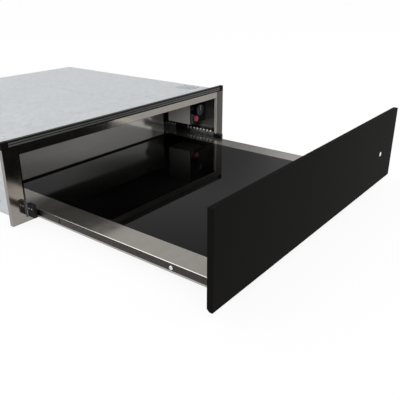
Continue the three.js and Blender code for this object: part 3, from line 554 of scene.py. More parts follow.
@cache
def grey_primed_steel():
    """Steel sheet, dip primed: an even mid grey with soft clouds."""
    return clouded("grey_primed_steel", {"Specular IOR Level": 0.3}, 12 * MM,
                   ("#7E7F80", "#8A8B8B"), (0.5, 0.6))


@cache
def zinc_plated_steel():
    """Rolled steel, bright zinc plated: a pale, cool sheen with soft clouds."""
    return clouded("zinc_plated_steel", {"Metallic": 0.8}, 6 * MM, ("#A2A5A8", "#B0B3B6"), (0.22, 0.36))


@cache
def dark_zinc_steel():
    """Rolled steel, zinc plated, in deep grey tones that are painted shade: a sheen with soft clouds."""
    return clouded("dark_zinc_plated_steel", {"Metallic": 1.0}, 6 * MM, ("#3B3A38", "#454442"), (0.2, 0.32))


@cache
def bright_bearing_steel():
    """Hardened steel, lapped or tumbled bright: small hard highlights."""
    return clouded("bright_bearing_steel", {"Metallic": 1.0}, 2 * MM, ("#CFCFCC", "#DEDEDB"), (0.06, 0.14))


@cache
def greased_ball_steel():
    """Bearing balls, pale and mostly matt, a painted highlight: bright and soft, not a clear mirror."""
    return clouded("greased_ball_steel", {"Metallic": 0.3}, 1.5 * MM, ("#F0F0EC", "#FBFBF8"), (0.12, 0.3))


@cache
def heat_tinted_steel():
    """Sheathed element, coloured by heat: grey steel that turns straw and blue in bands."""
    material, tree, shader, place = new_finish("heat_tinted_steel", {"Metallic": 1.0})
    clouds = add_node(tree, "TexNoise", {"Scale": 1 / (14 * MM)}, {"Vector": place})
    tints = add_node(tree, "ValToRGB", links={"Fac": clouds})
    stops = tints.color_ramp.elements
    stops[0].position, stops[0].color = 0.32, linear("#6E6A64")
    stops[1].position, stops[1].color = 0.68, linear("#565B66")
    stops.new(0.5).color = linear("#7C6C52")
    gloss = add_node(tree, "MapRange", from_to(0.34, 0.5), {"Value": clouds})
    feed(tree, shader, {"Base Color": tints, "Roughness": gloss})
    return material


@cache
def black_powder_coat():
    """Steel sheet, powder coated satin black: a fine orange-peel skin with a dull sheen."""
    # the peel's lumps are drawn at 1.6 mm, a little coarser than real ones
    return clouded("black_powder_coat", {"Specular IOR Level": 0.015}, 1.6 * MM,
                   chosen("front"), (0.52, 0.6), (0.3, 0.05 * MM))


@cache
def black_ceramic_glass():
    """Tinted ceramic glass, float-smooth: black, with a clear reflection and a trace of haze."""
    return clouded("black_ceramic_glass", {"IOR": 1.5, "Specular IOR Level": 0.08}, 45 * MM,
                   ("#020202", "#050505"), (0.015, 0.045))


@cache
def black_gloss_acrylic():
    """Cast acrylic, polished: a deep black face with sharp reflections, whose cool colour is a painted tint."""
    return clouded("black_gloss_acrylic", {"IOR": 1.49, "Specular IOR Level": 0.16, "Specular Tint": linear("#D8E6FF")},
                   12 * MM, ("#070709", "#0B0B0D"), (0.03, 0.07))


@cache
def moulded_black_nylon():
    """Glass-filled nylon, moulded with a spark-eroded grain: a soft grey sheen on black."""
    return clouded("moulded_black_nylon", {"IOR": 1.53, "Specular IOR Level": 0.2}, 0.5 * MM,
                   ("#0E0E0F", "#151516"), (0.4, 0.52), (0.3, 0.03 * MM))


@cache
def black_anodised_trim():
    """Aluminium extrusion, anodised black: a deep black satin skin with faint lines along it."""
    # die lines of the extrusion run along it; they are drawn at 0.4 mm
    return clouded("black_anodised_trim", {"IOR": 1.6, "Specular IOR Level": 0.08}, 0.4 * MM,
                   ("#0C0C0B", "#131312"), (0.3, 0.4), stretch=(0.01, 1, 1))


@cache
def rubbed_anodised_band():
    """Black anodised aluminium, its raised bands painted a dull grey as a painted highlight, streaked along them."""
    # streaks run along the extrusion; they are drawn at 0.5 mm
    return clouded("rubbed_anodised_band", {"Specular IOR Level": 0.3}, 0.5 * MM,
                   ("#40403E", "#565654"), (0.4, 0.5), stretch=(0.03, 1, 1))


@cache
def black_silicone_rubber():
    """Silicone rubber, moulded: a dead black with hardly any sheen."""
    return clouded("black_silicone_rubber", {"IOR": 1.41, "Specular IOR Level": 0.1}, 3 * MM,
                   ("#040404", "#090909"), (0.6, 0.72))


@cache
def braided_sleeve():
    """Polyester sleeve, braided over the wires: crossing strands that catch the light in turn."""
    material, tree, shader, place = new_finish("braided_polyester_sleeve", {"IOR": 1.55})
    # strands are drawn 2 mm wide, twice the real width, to show
    strands = []
    for lean in (0.7, -0.7):
        turned = add_node(tree, "Mapping", {"Rotation": (0, 0, lean)}, {"Vector": place})
        wave = add_node(tree, "TexWave", {"Scale": 1 / (6.3 * MM)}, {"Vector": turned})
        strands.append(wave.outputs["Fac"])
    weave = add_node(tree, "Math", links={0: strands[0], 1: strands[1]}, operation="MAXIMUM")
    tone = add_node(tree, "Mix", colours("#0E0E0F", "#242425"), {0: weave}, data_type="RGBA")
    gloss = add_node(tree, "MapRange", from_to(0.75, 0.5), {"Value": weave})
    bump = add_node(tree, "Bump", {"Strength": 0.8, "Distance": 0.3 * MM}, {"Height": weave})
    feed(tree, shader, {"Base Color": tone.outputs[2], "Roughness": gloss, "Normal": bump})
    return material


@cache
def red_lit_lens():
    """Red polycarbonate, moulded and lit from behind: it glows a little at its middle."""
    material, tree, shader, place = new_finish("red_polycarbonate_lens", {
        "IOR": 1.58, "Roughness": 0.22, "Emission Strength": 0.2})
    ridges = add_node(tree, "TexNoise", {"Scale": 1 / (1.2 * MM)}, {"Vector": place})
    share = vary(tree, shader, ridges, chosen("button"))
    glow = add_node(tree, "Mix", colours(*chosen("glow")), {0: share}, data_type="RGBA")
    feed(tree, shader, {"Emission Color": glow.outputs[2]})
    return material


@cache
def frosted_lens():
    """Clear polycarbonate, frosted in the mould: a pale, milky lamp lens."""
    return clouded("frosted_polycarbonate_lens", {"IOR": 1.58}, 0.8 * MM, ("#DCD9D1", "#EAE8E2"), (0.3, 0.4))


@cache
def white_steatite():
    """Steatite, pressed and fired: a chalky warm white."""
    return clouded("white_steatite_ceramic", {"IOR": 1.55}, 0.7 * MM, ("#DEDACE", "#E9E6DC"), (0.55, 0.72))


@cache
def grey_ink():
    """Pad-printed ink: a dim grey with slightly worn patches."""
    return clouded("printed_grey_ink", {"Roughness": 0.5, "Specular IOR Level": 0.2}, 1.0 * MM,
                   ("#6E7174", "#85888B"))


FINISHES = {
    "galvanised_sheet": galvanised_sheet,
    "polished_steel": polished_stainless,
    "brushed_steel": brushed_stainless,
    "zinc_plated_steel": zinc_plated_steel,
    "bright_steel": bright_bearing_steel,
    "element_steel": heat_tinted_steel,
    "black_front": black_powder_coat,
    "black_glass": black_ceramic_glass,
    "black_gloss": black_gloss_acrylic,
    "black_plastic": moulded_black_nylon,
    "black_rubber": black_silicone_rubber,
    "cable_sleeve": braided_sleeve,
    "red_lens": red_lit_lens,
    "clear_lens": frosted_lens,
    "white_ceramic": white_steatite,
}


# ------------------------------------------------------------------ settings

def length(name, description, default):
    return bpy.props.FloatProperty(name=name, description=description, default=default, unit="LENGTH",
                                   min=0.0, precision=5)


def colour(name, description, default):
    return bpy.props.FloatVectorProperty(name=name, description=description, default=linear(default),
                                         subtype="COLOR", size=4, min=0.0, max=1.0)


class StudioSettings(bpy.types.PropertyGroup):
    camera_place: bpy.props.FloatVectorProperty(
        name="Camera place", description="Where the camera stands", subtype="TRANSLATION",
        default=(-0.70627, -0.70993, 0.37310))
    camera_aim: bpy.props.FloatVectorProperty(
        name="Camera aim", description="The way the camera looks", subtype="DIRECTION",
        default=(0.72770, 0.56080, -0.39490))
    lens: bpy.props.FloatProperty(
        name="Lens", description="Focal length for a 36 mm wide sensor, in millimetres", default=46.455)
    floor_half: length("Floor half width", "How far the floor reaches from the middle", 30.0)
    plain_level: bpy.props.FloatProperty(
        name="Plain level", description="Even light from all round", default=0.9)


class FrontSettings(bpy.types.PropertyGroup):
    rear_chamfer: length("Rear chamfer", "Slope at the foot of the slab's back", 3.6 * MM)
    edge: length("Edge radius", "Rounding of the slab's front edges", 1.0 * MM)
    plate_corner: length("Plate corner", "Corner radius of the plate behind the slab", 6 * MM)
    bead_depth: length("Bead depth", "How far the plate's beads are pressed out", 1.2 * MM)


class TraySettings(bpy.types.PropertyGroup):
    flange_roll: length("Flange roll", "Radius where the flange turns down into the skirt", 2.0 * MM)
    sheet_edge: length("Sheet edge", "Rounding of the other sheet edges", 0.25 * MM)
    glass_arris: length("Glass arris", "Ground edge of the glass", 0.4 * MM)


class SlideSettings(bpy.types.PropertyGroup):
    roll: length("Roll", "Rounding of the rolled slide sections", 0.4 * MM)
    ball: length("Ball", "Diameter of a bearing ball", 5 * MM)
    ball_pitch: length("Ball pitch", "Distance from ball to ball", 10 * MM)
    cap_skin: length("Cap skin", "How far the end cap covers the slide's outer face", 0.2 * MM)


class ControlSettings(bpy.types.PropertyGroup):
    flutes: bpy.props.IntProperty(name="Flutes", description="Grooves round the knob", default=24)
    flute_radius: length("Flute radius", "Radius of a groove", 1.1 * MM)
    figure_height: length("Figure height", "Height of the dial's numbers", 2.5 * MM)
    dial_figures: bpy.props.IntVectorProperty(name="Dial figures", description="Numbers in the order of the turn",
                                              size=5, default=(0, 30, 40, 60, 80))


class HousingSettings(bpy.types.PropertyGroup):
    bead_depth: length("Bead depth", "How far the sheets' beads are pressed out", 1.5 * MM)
    bead_slope: length("Bead slope", "Width of a bead's sloping side", 3 * MM)
    frame_edge: length("Frame edge", "Rounding of the front frame's folded edges", 0.6 * MM)
    brushed_width: length("Brushed width", "Width of the brushed part of the right post", 24.5 * MM)
    trim_edge: length("Trim edge", "Rounding of the black trim's edges", 0.3 * MM)
    band_rise: length("Band rise", "How far the trim's two bands stand up", 0.8 * MM)


class FinishSettings(bpy.types.PropertyGroup):
    front_dark: colour("Front, dark", "Darker tone of the front's black coat", "#0F0F0E")
    front_light: colour("Front, light", "Lighter tone of the front's black coat", "#131211")
    sheet_dark: colour("Housing, dark", "Darker crystals of the galvanised sheet", "#BFC2C5")
    sheet_light: colour("Housing, light", "Lighter crystals of the galvanised sheet", "#CACDCF")
    button_dark: colour("Button, dark", "Darker tone of the lit button", "#64182A")
    button_light: colour("Button, light", "Lighter tone of the lit button", "#7C2838")
    glow_dark: colour("Glow, dark", "Darker tone of the button's own light", "#8C1E30")
    glow_light: colour("Glow, light", "Lighter tone of the button's own light", "#B43E54")


class DrawerSettings(bpy.types.PropertyGroup):
    finishes: bpy.props.PointerProperty(type=FinishSettings)
    studio: bpy.props.PointerProperty(type=StudioSettings)
    front: bpy.props.PointerProperty(type=FrontSettings)
    tray: bpy.props.PointerProperty(type=TraySettings)
    slides: bpy.props.PointerProperty(type=SlideSettings)
    controls: bpy.props.PointerProperty(type=ControlSettings)
    housing: bpy.props.PointerProperty(type=HousingSettings)


# ------------------------------------------------------------------ studio

# Parts of the studio that only reflections and glass show: the way to each, how bright it is, and the
# two angles from its middle, in degrees, between which it fades into the rest. They are set so that
# the steel and the glass reflect what they do in the photograph, and aren't even, plain light.
PATCHES = (
    ((0.70, 0.58, 0.42), 0.65, 14, 48),
    ((0.785, 0.570, 0.242), 0.4, 1, 10),
    ((0.70, -0.60, 0.42), 0.25, 6, 13),
    ((0.51, -0.84, 0.39), 2.2, 5, 15),
    ((-0.38, 0.56, 0.71), 3.0, 18, 34),
)

# how much of the floor's look is plain white and how much is lit paint, which keeps the shadow
WHITE_OF_FLOOR = 0.88


class WARMING_OT_studio(bpy.types.Operator):
    """Sets up the floor, the light and the camera"""

    bl_idname = "warming.studio"
    bl_label = "Studio"

    def execute(self, context):
        studio = context.scene.warming_drawer.studio
        context.scene.view_settings.view_transform = "Standard"
        self.add_camera(context, studio)
        self.add_floor(studio)
        self.light_world(context, studio)
        self.add_lamps()
        return {"FINISHED"}

    def add_camera(self, context, studio):
        nothing_selected()
        turn = Vector(studio.camera_aim).to_track_quat("-Z", "Y").to_euler()
        bpy.ops.object.camera_add(location=studio.camera_place, rotation=turn)
        camera = context.active_object
        camera.data.sensor_width = 36
        camera.data.lens = studio.lens
        camera.data.clip_end = 200
        context.scene.camera = camera

    def add_floor(self, studio):
        nothing_selected()
        bpy.ops.mesh.primitive_plane_add(size=2 * studio.floor_half, location=(0, 0, -0.3 * MM))
        floor = placed()
        floor.name = "studio_floor"
        material = bpy.data.materials.new("painted_studio_floor")
        tree = empty_tree(material)
        paint = add_node(tree, "BsdfDiffuse", {"Color": linear("#FFFFFF")})
        white = add_node(tree, "Emission", {"Strength": 1.0})
        straight, mirrored = self.ways_seen(tree)
        seen = add_node(tree, "Math", links={0: straight, 1: mirrored}, operation="MAXIMUM")
        share = add_node(tree, "Math", {1: WHITE_OF_FLOOR}, {0: seen}, operation="MULTIPLY")
        both = add_node(tree, "MixShader", links={0: share, 1: paint, 2: white})
        add_node(tree, "OutputMaterial", links={"Surface": both})
        floor.data.materials.append(material)

    def ways_seen(self, tree):
        """Two sockets: 1 for what the camera sees straight, and 1 for what reflections and glass show."""
        ray = add_node(tree, "LightPath")
        mirrored = add_node(tree, "Math", operation="MAXIMUM", links={
            0: ray.outputs["Is Glossy Ray"], 1: ray.outputs["Is Transmission Ray"]})
        return ray.outputs["Is Camera Ray"], mirrored.outputs[0]

    def light_world(self, context, studio):
        world = bpy.data.worlds.new("plain_studio")
        tree = empty_tree(world)
        way = add_node(tree, "TexCoord").outputs["Generated"]
        patches = add_node(tree, "Value")
        patches.outputs[0].default_value = 1.0
        for aim, patch_level, inner, outer in PATCHES:
            near = add_node(tree, "VectorMath", {1: Vector(aim).normalized()}, {0: way},
                            operation="DOT_PRODUCT")
            patch = add_node(tree, "MapRange", {
                "From Min": math.cos(math.radians(outer)), "From Max": math.cos(math.radians(inner)),
                "To Min": 1.0, "To Max": patch_level,
            }, {"Value": near.outputs["Value"]}, interpolation_type="SMOOTHSTEP")
            patches = add_node(tree, "Math", links={0: patch, 1: patches}, operation="MULTIPLY")
        straight, mirrored = self.ways_seen(tree)
        unseen = add_node(tree, "Mix", {"A": studio.plain_level}, {
            "Factor": mirrored, "B": patches}, data_type="FLOAT")
        level = add_node(tree, "Mix", {"B": 1.0}, {
            "Factor": straight, "A": unseen.outputs["Result"]}, data_type="FLOAT")
        sky = add_node(tree, "Background", {"Color": (1, 1, 1, 1)}, {"Strength": level.outputs["Result"]})
        add_node(tree, "OutputWorld", links={"Surface": sky})
        context.scene.world = world

    def add_lamps(self):
        """Wide lamps that give soft shadows; the two in front are low, and shine into the opening."""
        for name, place, width, height, power in (
            ("lamp_front_left", (-1.8, -2.1, 1.5), 1.8, 1.8, 16),
            ("lamp_front_right", (2.4, -2.5, 0.75), 2.4, 0.85, 14),
            ("lamp_right", (2.2, -0.8, 2.0), 1.6, 1.6, 6),
            ("lamp_back", (-0.4, 2.4, 2.2), 1.8, 1.8, 5),
        ):
            nothing_selected()
            turn = (Vector((0, 0, 0.05)) - Vector(place)).to_track_quat("-Z", "Y").to_euler()
            bpy.ops.object.light_add(type="AREA", location=place, rotation=turn)
            lamp = bpy.context.active_object
            lamp.name = name
            lamp.data.shape = "RECTANGLE"
            lamp.data.size = width
            lamp.data.size_y = height
            lamp.data.energy = power


# ------------------------------------------------------------------ drawer front

class WARMING_OT_drawer_front(bpy.types.Operator):
    """Models the black slab, the plate behind it, the lamp lens and the brackets"""

    bl_idname = "warming.drawer_front"
    bl_label = "Drawer front"

    def execute(self, context):
        sizes = context.scene.warming_drawer.front
        self.slab(sizes)
        self.back_plate(sizes)
        self.lens()
        for word, _ in SIDES:
            softened_copy(f"front_bracket_{word}", 0.3 * MM)
            node_screw(f"bracket_screw_{word}", "Y")
        return {"FINISHED"}

    def guide_bore(self):
        low, high, middle = box_of("indicator_light_guide")
        radius = (high.x - low.x) / 2 + 0.3 * MM
        return round_bar(radius, (middle.x, low.y - 2 * MM, middle.z), 20 * MM)

    def slab(self, sizes):
        low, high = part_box("front_panel")
        slab = block(low, high)
        at_back, at_foot = all_above("Y", high.y), all_below("Z", low.z)
        bevel_edges(slab, lambda edge: at_back(edge) and at_foot(edge), sizes.rear_chamfer, 1)
        bevel_edges(slab, all_below("Y", low.y), sizes.edge, 3)
        soften(slab, 0.35 * MM, 2, 30)
        combine(slab, self.guide_bore())
        stand_in(slab, "front_panel")

    def back_plate(self, sizes):
        low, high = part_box("front_back_plate")
        plate = block(low, high)
        bevel_edges(plate, lambda edge: run_of(edge, "Y") > MM, sizes.plate_corner, 5)
        margin, height = 40 * MM, 12 * MM
        for z in (low.z + 66 * MM, low.z + 92 * MM):
            press_bead(plate, "Y", (low.x + margin, high.x - margin), (z, z + height), sizes.bead_depth, 3 * MM)
        combine(plate, self.guide_bore())
        stand_in(plate, "front_back_plate", grey_primed_steel())

    def lens(self):
        low, high, middle = box_of("indicator_light_guide")
        radius = (high.x - low.x) / 2
        dome = 0.4 * MM
        guide = round_bar(radius, (middle.x, low.y + dome, middle.z), high.y - low.y - dome)
        steps = [(radius * step * 0.9, -dome * step * 0.98) for step in (0.5, 0.3, 0.2)]
        step_face(guide, lambda face: face.normal.y < -0.9, steps)
        stand_in(guide, "indicator_light_guide", smooth_angle=60)


# ------------------------------------------------------------------ tray

class WARMING_OT_tray(bpy.types.Operator):
    """Models the tray frame, the glass base, the seal, the rear wall and the pan below"""

    bl_idname = "warming.tray"
    bl_label = "Tray"

    def execute(self, context):
        sizes = context.scene.warming_drawer.tray
        self.tray_frame(sizes)
        softened_block("glass_base", sizes.glass_arris)
        self.seal()
        self.rear_wall(sizes)
        self.under_pan()
        return {"FINISHED"}

    def tray_frame(self, sizes):
        _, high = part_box("tray_frame")
        tray = copy_of("tray_frame")
        at_top = all_above("Z", high.z)

        def is_flange_turn(edge):
            return at_top(edge) and all(abs(abs(corner.co.x) - high.x) < NEAR for corner in edge.verts)

        bevel_edges(tray, is_flange_turn, sizes.flange_roll, 4)
        soften(tray, sizes.sheet_edge, 2, 50)
        stand_in(tray, "tray_frame", hazy_stainless())

    def seal(self):
        low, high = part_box("rear_seal")
        strip = block(low, high)
        bevel_edges(strip, all_above("Z", high.z), 0.6 * MM, 3)
        stand_in(strip, "rear_seal")

    def rear_wall(self, sizes):
        low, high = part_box("tray_rear_wall")
        wall = block(low, high)
        at_top = all_above("Z", high.z)
        bevel_edges(wall, lambda edge: at_top(edge) and run_of(edge, "Y") > 0.5 * MM, 4 * MM, 5)
        soften(wall, sizes.sheet_edge)
        stand_in(wall, "tray_rear_wall", satin_stainless())
        softened_block("rear_wall_rail", 0.8 * MM, 3)

    def under_pan(self):
        low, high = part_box("tray_under_pan")
        pan = block(low, high)
        press_bead_row(pan, 5, pitch=90 * MM, width=28 * MM, reach=(low.y + 40 * MM, high.y - 40 * MM),
                       depth=1.6 * MM, slope=4 * MM)
        stand_in(soften(pan, 0.3 * MM), "tray_under_pan")


# ------------------------------------------------------------------ slides

class WARMING_OT_slides(bpy.types.Operator):
    """Models the slide members, their balls and cages, the glides and the corner blocks"""

    bl_idname = "warming.slides"
    bl_label = "Slides"

    def execute(self, context):
        sizes = context.scene.warming_drawer.slides
        for word, side in SIDES:
            self.members(word, side, sizes)
            self.cage(word, side, sizes)
            self.plastics(word, side, sizes)
            for end in ("front", "rear"):
                node_screw(f"tray_screw_{word}_{end}", outward(side))
        return {"FINISHED"}

    def members(self, word, side, sizes):
        for member in ("outer", "middle", "inner"):
            node = f"slide_{member}_{word}"
            low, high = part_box(node)
            section = copy_of(node)
            middle_z = (low.z + high.z) / 2
            if member != "inner":
                _, web = inner_and_outer(low, high, side)
                for share in (0.12, 0.38, 0.62, 0.88):
                    start = (web - side * 3 * MM, low.y + (high.y - low.y) * share, middle_z)
                    combine(section, round_bar(2.6 * MM, start, side * 6 * MM, "X", 24))
            soften(section, sizes.roll, 2, 50)
            # the outer and inner members take deep grey zinc tones that are painted shade
            stand_in(section, node, None if member == "middle" else dark_zinc_steel())

    def cage(self, word, side, sizes):
        node = f"ball_cage_{word}"
        low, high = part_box(node)
        inner_x, outer_x = inner_and_outer(low, high, side)
        web, arm = 1.0 * MM, 3.3 * MM
        ball = sizes.ball / 2
        rows = (low.z + ball, high.z - ball)
        arm_x = outer_x - side * (web + arm)
        root_x = outer_x - side * web
        strip = block((root_x, low.y, rows[0] - web / 2), (outer_x, high.y, rows[1] + web / 2))
        divide(strip, "Z", (rows[0] + web / 2, rows[1] - web / 2))

        def is_arm_root(face):
            between_rows = rows[0] + web < face.calc_center_median().z < rows[1] - web
            return face.normal.x * side < -0.9 and not between_rows

        select_in(strip, "FACE", is_arm_root)
        bpy.ops.mesh.extrude_region_move(TRANSFORM_OT_translate={"value": (arm_x - root_x, 0, 0)})
        leave_edit()
        soften(strip, 0.25 * MM)
        stand_in(strip, node)
        nothing_selected()
        bpy.ops.mesh.primitive_uv_sphere_add(segments=16, ring_count=10, radius=ball)
        master = placed()
        ball_x = inner_x + side * ball
        count = round((high.y - low.y) / sizes.ball_pitch)
        places = [Matrix.Translation((ball_x, low.y + (k + 0.5) * sizes.ball_pitch, z))
                  for z in rows for k in range(count)]
        balls = copies(master, places)
        # the balls' pale tone is a painted highlight
        finish_piece(balls, f"bearing_balls_{word}", greased_ball_steel(), body_of(node),
                     smooth_angle=60)

    def plastics(self, word, side, sizes):
        for node, rounding in ((f"slide_front_glide_{word}", 0.5 * MM), (f"slide_rear_glide_{word}", 0.4 * MM)):
            low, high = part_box(node)
            glide = block(low, high)
            bevel_edges(glide, all_below("Y", low.y), 1.0 * MM, 2)
            stand_in(soften(glide, rounding), node)
        node = f"rear_guide_block_{word}"
        low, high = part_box(node)
        guide = block(low, high)
        at_top, at_front = all_above("Z", high.z), all_below("Y", low.y)
        bevel_edges(guide, lambda edge: at_top(edge) and at_front(edge), 4 * MM, 4)
        inner_x, outer_x = inner_and_outer(low, high, side)
        combine(guide, block((inner_x + side * 3 * MM, high.y - 20 * MM, low.z + 6 * MM),
                             (outer_x + side * MM, high.y - 6 * MM, high.z - 3 * MM)))
        stand_in(soften(guide, 0.5 * MM), node)
        self.end_cap(word, side, sizes)

    def end_cap(self, word, side, sizes):
        """A moulded cap over the front end of the middle member, with two small rivets."""
        low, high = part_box(f"slide_middle_{word}")
        inner_x, outer_x = inner_and_outer(low, high, side)
        skin = sizes.cap_skin
        lip = 0.05 * MM
        # it ends ahead of the first ball, also where the drawer is shut
        reach = 16 * MM
        cap = block((inner_x, low.y - 0.6 * MM, low.z - lip), (outer_x + side * skin, low.y + reach, high.z + lip))
        # the hollow's walls stand a hair inside the member's faces
        hair = 0.01 * MM
        combine(cap, block((inner_x - side * 3 * MM, low.y, low.z + hair),
                           (outer_x - side * hair, low.y + 2 * reach, high.z - hair)))
        soften(cap, 0.02 * MM, 1)
        finish_piece(cap, f"slide_end_cap_{word}", moulded_black_nylon(), f"middle_{word}")
        places = [(outer_x + side * skin, low.y + y, low.z + 14.8 * MM) for y in (5 * MM, 12 * MM)]
        screws(f"slide_cap_rivets_{word}", places, outward(side), 1.6 * MM, 0.08 * MM, f"middle_{word}")


# ------------------------------------------------------------------ controls

class WARMING_OT_controls(bpy.types.Operator):
    """Models the control box, its gloss fascia, the knob, the dial and the lit button"""

    bl_idname = "warming.controls"
    bl_label = "Controls"

    def execute(self, context):
        sizes = context.scene.warming_drawer.controls
        # the control box takes the pale brushed finish, whose pale tone is painted light
        softened_copy("control_box", 0.35 * MM)
        self.fascia()
        self.knob(sizes)
        self.dial(sizes)
        self.button()
        self.inside()
        return {"FINISHED"}

    def fascia(self):
        low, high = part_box("control_fascia")
        plate = block(low, high)
        bevel_edges(plate, all_below("Y", low.y), 0.6 * MM, 3)
        button_low, button_high, middle = box_of("power_button")
        radius = (button_high.x - button_low.x) / 2 + 0.3 * MM
        combine(plate, round_bar(radius, (middle.x, low.y - MM, middle.z), 6 * MM))
        stand_in(plate, "control_fascia")
        softened_block("control_box_edge_strip", 0.8 * MM, 3)

    def knob(self, sizes):
        low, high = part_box("temperature_knob")
        face_y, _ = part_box("control_fascia")
        middle = Vector(((low.x + high.x) / 2, 0, (low.z + high.z) / 2))
        radius = (high.x - low.x) / 2
        front = low.y + 1.0 * MM
        back = face_y.y - 0.3 * MM
        knob = round_bar(radius, (middle.x, front, middle.z), back - front, sides=72)
        bevel_edges(knob, all_below("Y", front), 1.6 * MM, 5)
        flute = round_bar(sizes.flute_radius, (0, -30 * MM, 0), 30 * MM, sides=12)
        # the grooves' middles stand a little outside the knob, and they end ahead of its ring
        groove_ring, groove_end = radius + 0.45 * MM, back - 2.6 * MM
        turns = []
        for k in range(sizes.flutes):
            angle = 2 * math.pi * k / sizes.flutes
            place = middle + Vector((math.sin(angle), 0, math.cos(angle))) * groove_ring
            turns.append(Matrix.Translation((place.x, groove_end, place.z)))
        combine(knob, copies(flute, turns))
        step_face(knob, lambda face: face.normal.y < -0.99 and face.calc_area() > DISC, [(1.5 * MM, 0.5 * MM)])
        stand_in(knob, "temperature_knob", black_gloss_acrylic(), 30)
        bar = block((middle.x - 0.9 * MM, low.y, middle.z), (middle.x + 0.9 * MM, front + MM, middle.z + 10.5 * MM))
        finish_piece(soften(bar, 0.3 * MM), "knob_pointer", grey_ink(), "knob")
        ring = round_bar(radius + 0.05 * MM, (middle.x, back - 1.6 * MM, middle.z), 1.2 * MM, sides=72)
        combine(ring, round_bar(radius - 0.6 * MM, (middle.x, back - 4 * MM, middle.z), 8 * MM, sides=72))
        finish_piece(soften(ring, 0.2 * MM), "knob_ring", bright_bearing_steel(), "knob")

    def dial(self, sizes):
        """Dots and plain numbers round the knob, from off at the top, clockwise to the highest setting."""
        face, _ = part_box("control_fascia")
        *_, knob = box_of("temperature_knob")
        middle = Vector((knob.x, face.y, knob.z))
        values = list(sizes.dial_figures)
        # the pointer stands at the top at rest, and the knob turns clockwise by this angle
        sweep = math.radians(270)
        dot_ring, figure_ring = 14.5 * MM, 16.4 * MM
        ink = 0.05 * MM
        marks = []
        for k, value in enumerate(values):
            angle = sweep * k / (len(values) - 1)
            out = Vector((math.sin(angle), 0, math.cos(angle)))
            marks.append(round_bar(0.3 * MM, middle + out * dot_ring - Vector((0, ink, 0)), ink, sides=12))
            nothing_selected()
            bpy.ops.object.text_add(location=middle + out * figure_ring - Vector((0, ink, 0)),
                                    rotation=(math.pi / 2, 0, 0))
            text = bpy.context.active_object
            text.data.body = str(value)
            text.data.size = sizes.figure_height
            text.data.align_x = "CENTER"
            text.data.align_y = "CENTER"
            text.data.extrude = ink / 2
            text.data.resolution_u = 3
            bpy.ops.object.convert(target="MESH")
            marks.append(placed())
        finish_piece(together(marks), "dial_figures", grey_ink(), "housing")

    def button(self):
        low, high, middle = box_of("power_button")
        radius = (high.x - low.x) / 2
        cap_length, stem_radius = 5 * MM, 3.5 * MM
        cap = round_bar(radius, (middle.x, low.y, middle.z), cap_length)
        bevel_edges(cap, all_below("Y", low.y), 0.8 * MM, 4)
        step_face(cap, lambda face: face.normal.y < -0.99, [(1.2 * MM, 0.4 * MM), (1.6 * MM, 0.25 * MM)])
        start = low.y + cap_length - 0.1 * MM
        stem = round_bar(stem_radius, (middle.x, start, middle.z), high.y - start, sides=24)
        combine(cap, stem, "UNION")
        stand_in(cap, "power_button")

    def inside(self):
        """The regulator and the switch behind the fascia, each with flat tabs for its wires."""
        for node, tabs in (("heat_regulator", 3), ("power_switch", 2)):
            low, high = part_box(node)
            softened_block(node, 0.8 * MM)
            step = (high.x - low.x) / (tabs + 1)
            places = [(low.x + step * (k + 1), high.y, (low.z + high.z) / 2) for k in range(tabs)]
            wire_tabs(f"{node}_tabs", places, 4.8 * MM, 5 * MM)


# ------------------------------------------------------------------ housing

class WARMING_OT_front_frame(bpy.types.Operator):
    """Models the bright frame round the opening and the black ribbed trim on it"""

    bl_idname = "warming.front_frame"
    bl_label = "Front frame"

    def execute(self, context):
        sizes = context.scene.warming_drawer.housing
        self.bright_frame(sizes)
        self.trim(sizes)
        for word, _ in SIDES:
            softened_block(f"trim_cap_{word}", 0.4 * MM, 3, black_silicone_rubber())
        return {"FINISHED"}

    def bright_frame(self, sizes):
        """One folded sheet, polished; the face of the right post is brushed upright and darkened with painted shade,
        but for its edge; the post's side beside the opening takes a pale painted highlight.
        """
        low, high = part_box("front_frame")
        folded = copy_of("front_frame")
        divide(folded, "X", (high.x - sizes.brushed_width,))
        under_trim = all_above("Z", high.z)

        def is_fold(edge):
            return edge.calc_face_angle(0) > math.radians(50) and not under_trim(edge)

        bevel_edges(folded, is_fold, sizes.frame_edge, 3)
        stand_in(folded, "front_frame")

        def on_brushed_face(face):
            at_front = face.normal.y < -0.9 and face.center.y < low.y + MM
            return at_front and face.center.x > high.x - sizes.brushed_width

        def beside_opening(face):
            return face.normal.x < -0.9 and face.center.x > 250 * MM

        # the right post's face takes a darker grey, painted shade
        repaint(folded, upright_brushed_stainless(), on_brushed_face)
        # the post's side beside the opening takes the pale brushed finish, a painted highlight
        repaint(folded, brushed_stainless(), beside_opening)

    def trim(self, sizes):
        """A black bar with two broad bands raised from its face, their tops painted paler as a painted highlight."""
        low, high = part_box("top_trim")
        bar = block((low.x, low.y + sizes.band_rise, low.z), high)
        bands = ((low.z + 2.4 * MM, low.z + 5.1 * MM), (low.z + 6.6 * MM, low.z + 8.9 * MM))
        divide(bar, "Z", [z for band in bands for z in band])

        def in_band(face):
            return face.normal.y < -0.9 and any(a < face.calc_center_median().z < b for a, b in bands)

        select_in(bar, "FACE", in_band)
        bpy.ops.mesh.extrude_region_move(TRANSFORM_OT_translate={"value": (0, -sizes.band_rise, 0)})
        leave_edit()
        stand_in(soften(bar, sizes.trim_edge, 2, 50), "top_trim", black_anodised_trim())
        front = low.y + sizes.trim_edge
        # the bands' fronts take the paler finish, a painted highlight
        repaint(bar, rubbed_anodised_band(), lambda face: face.normal.y < -0.7 and face.center.y < front)


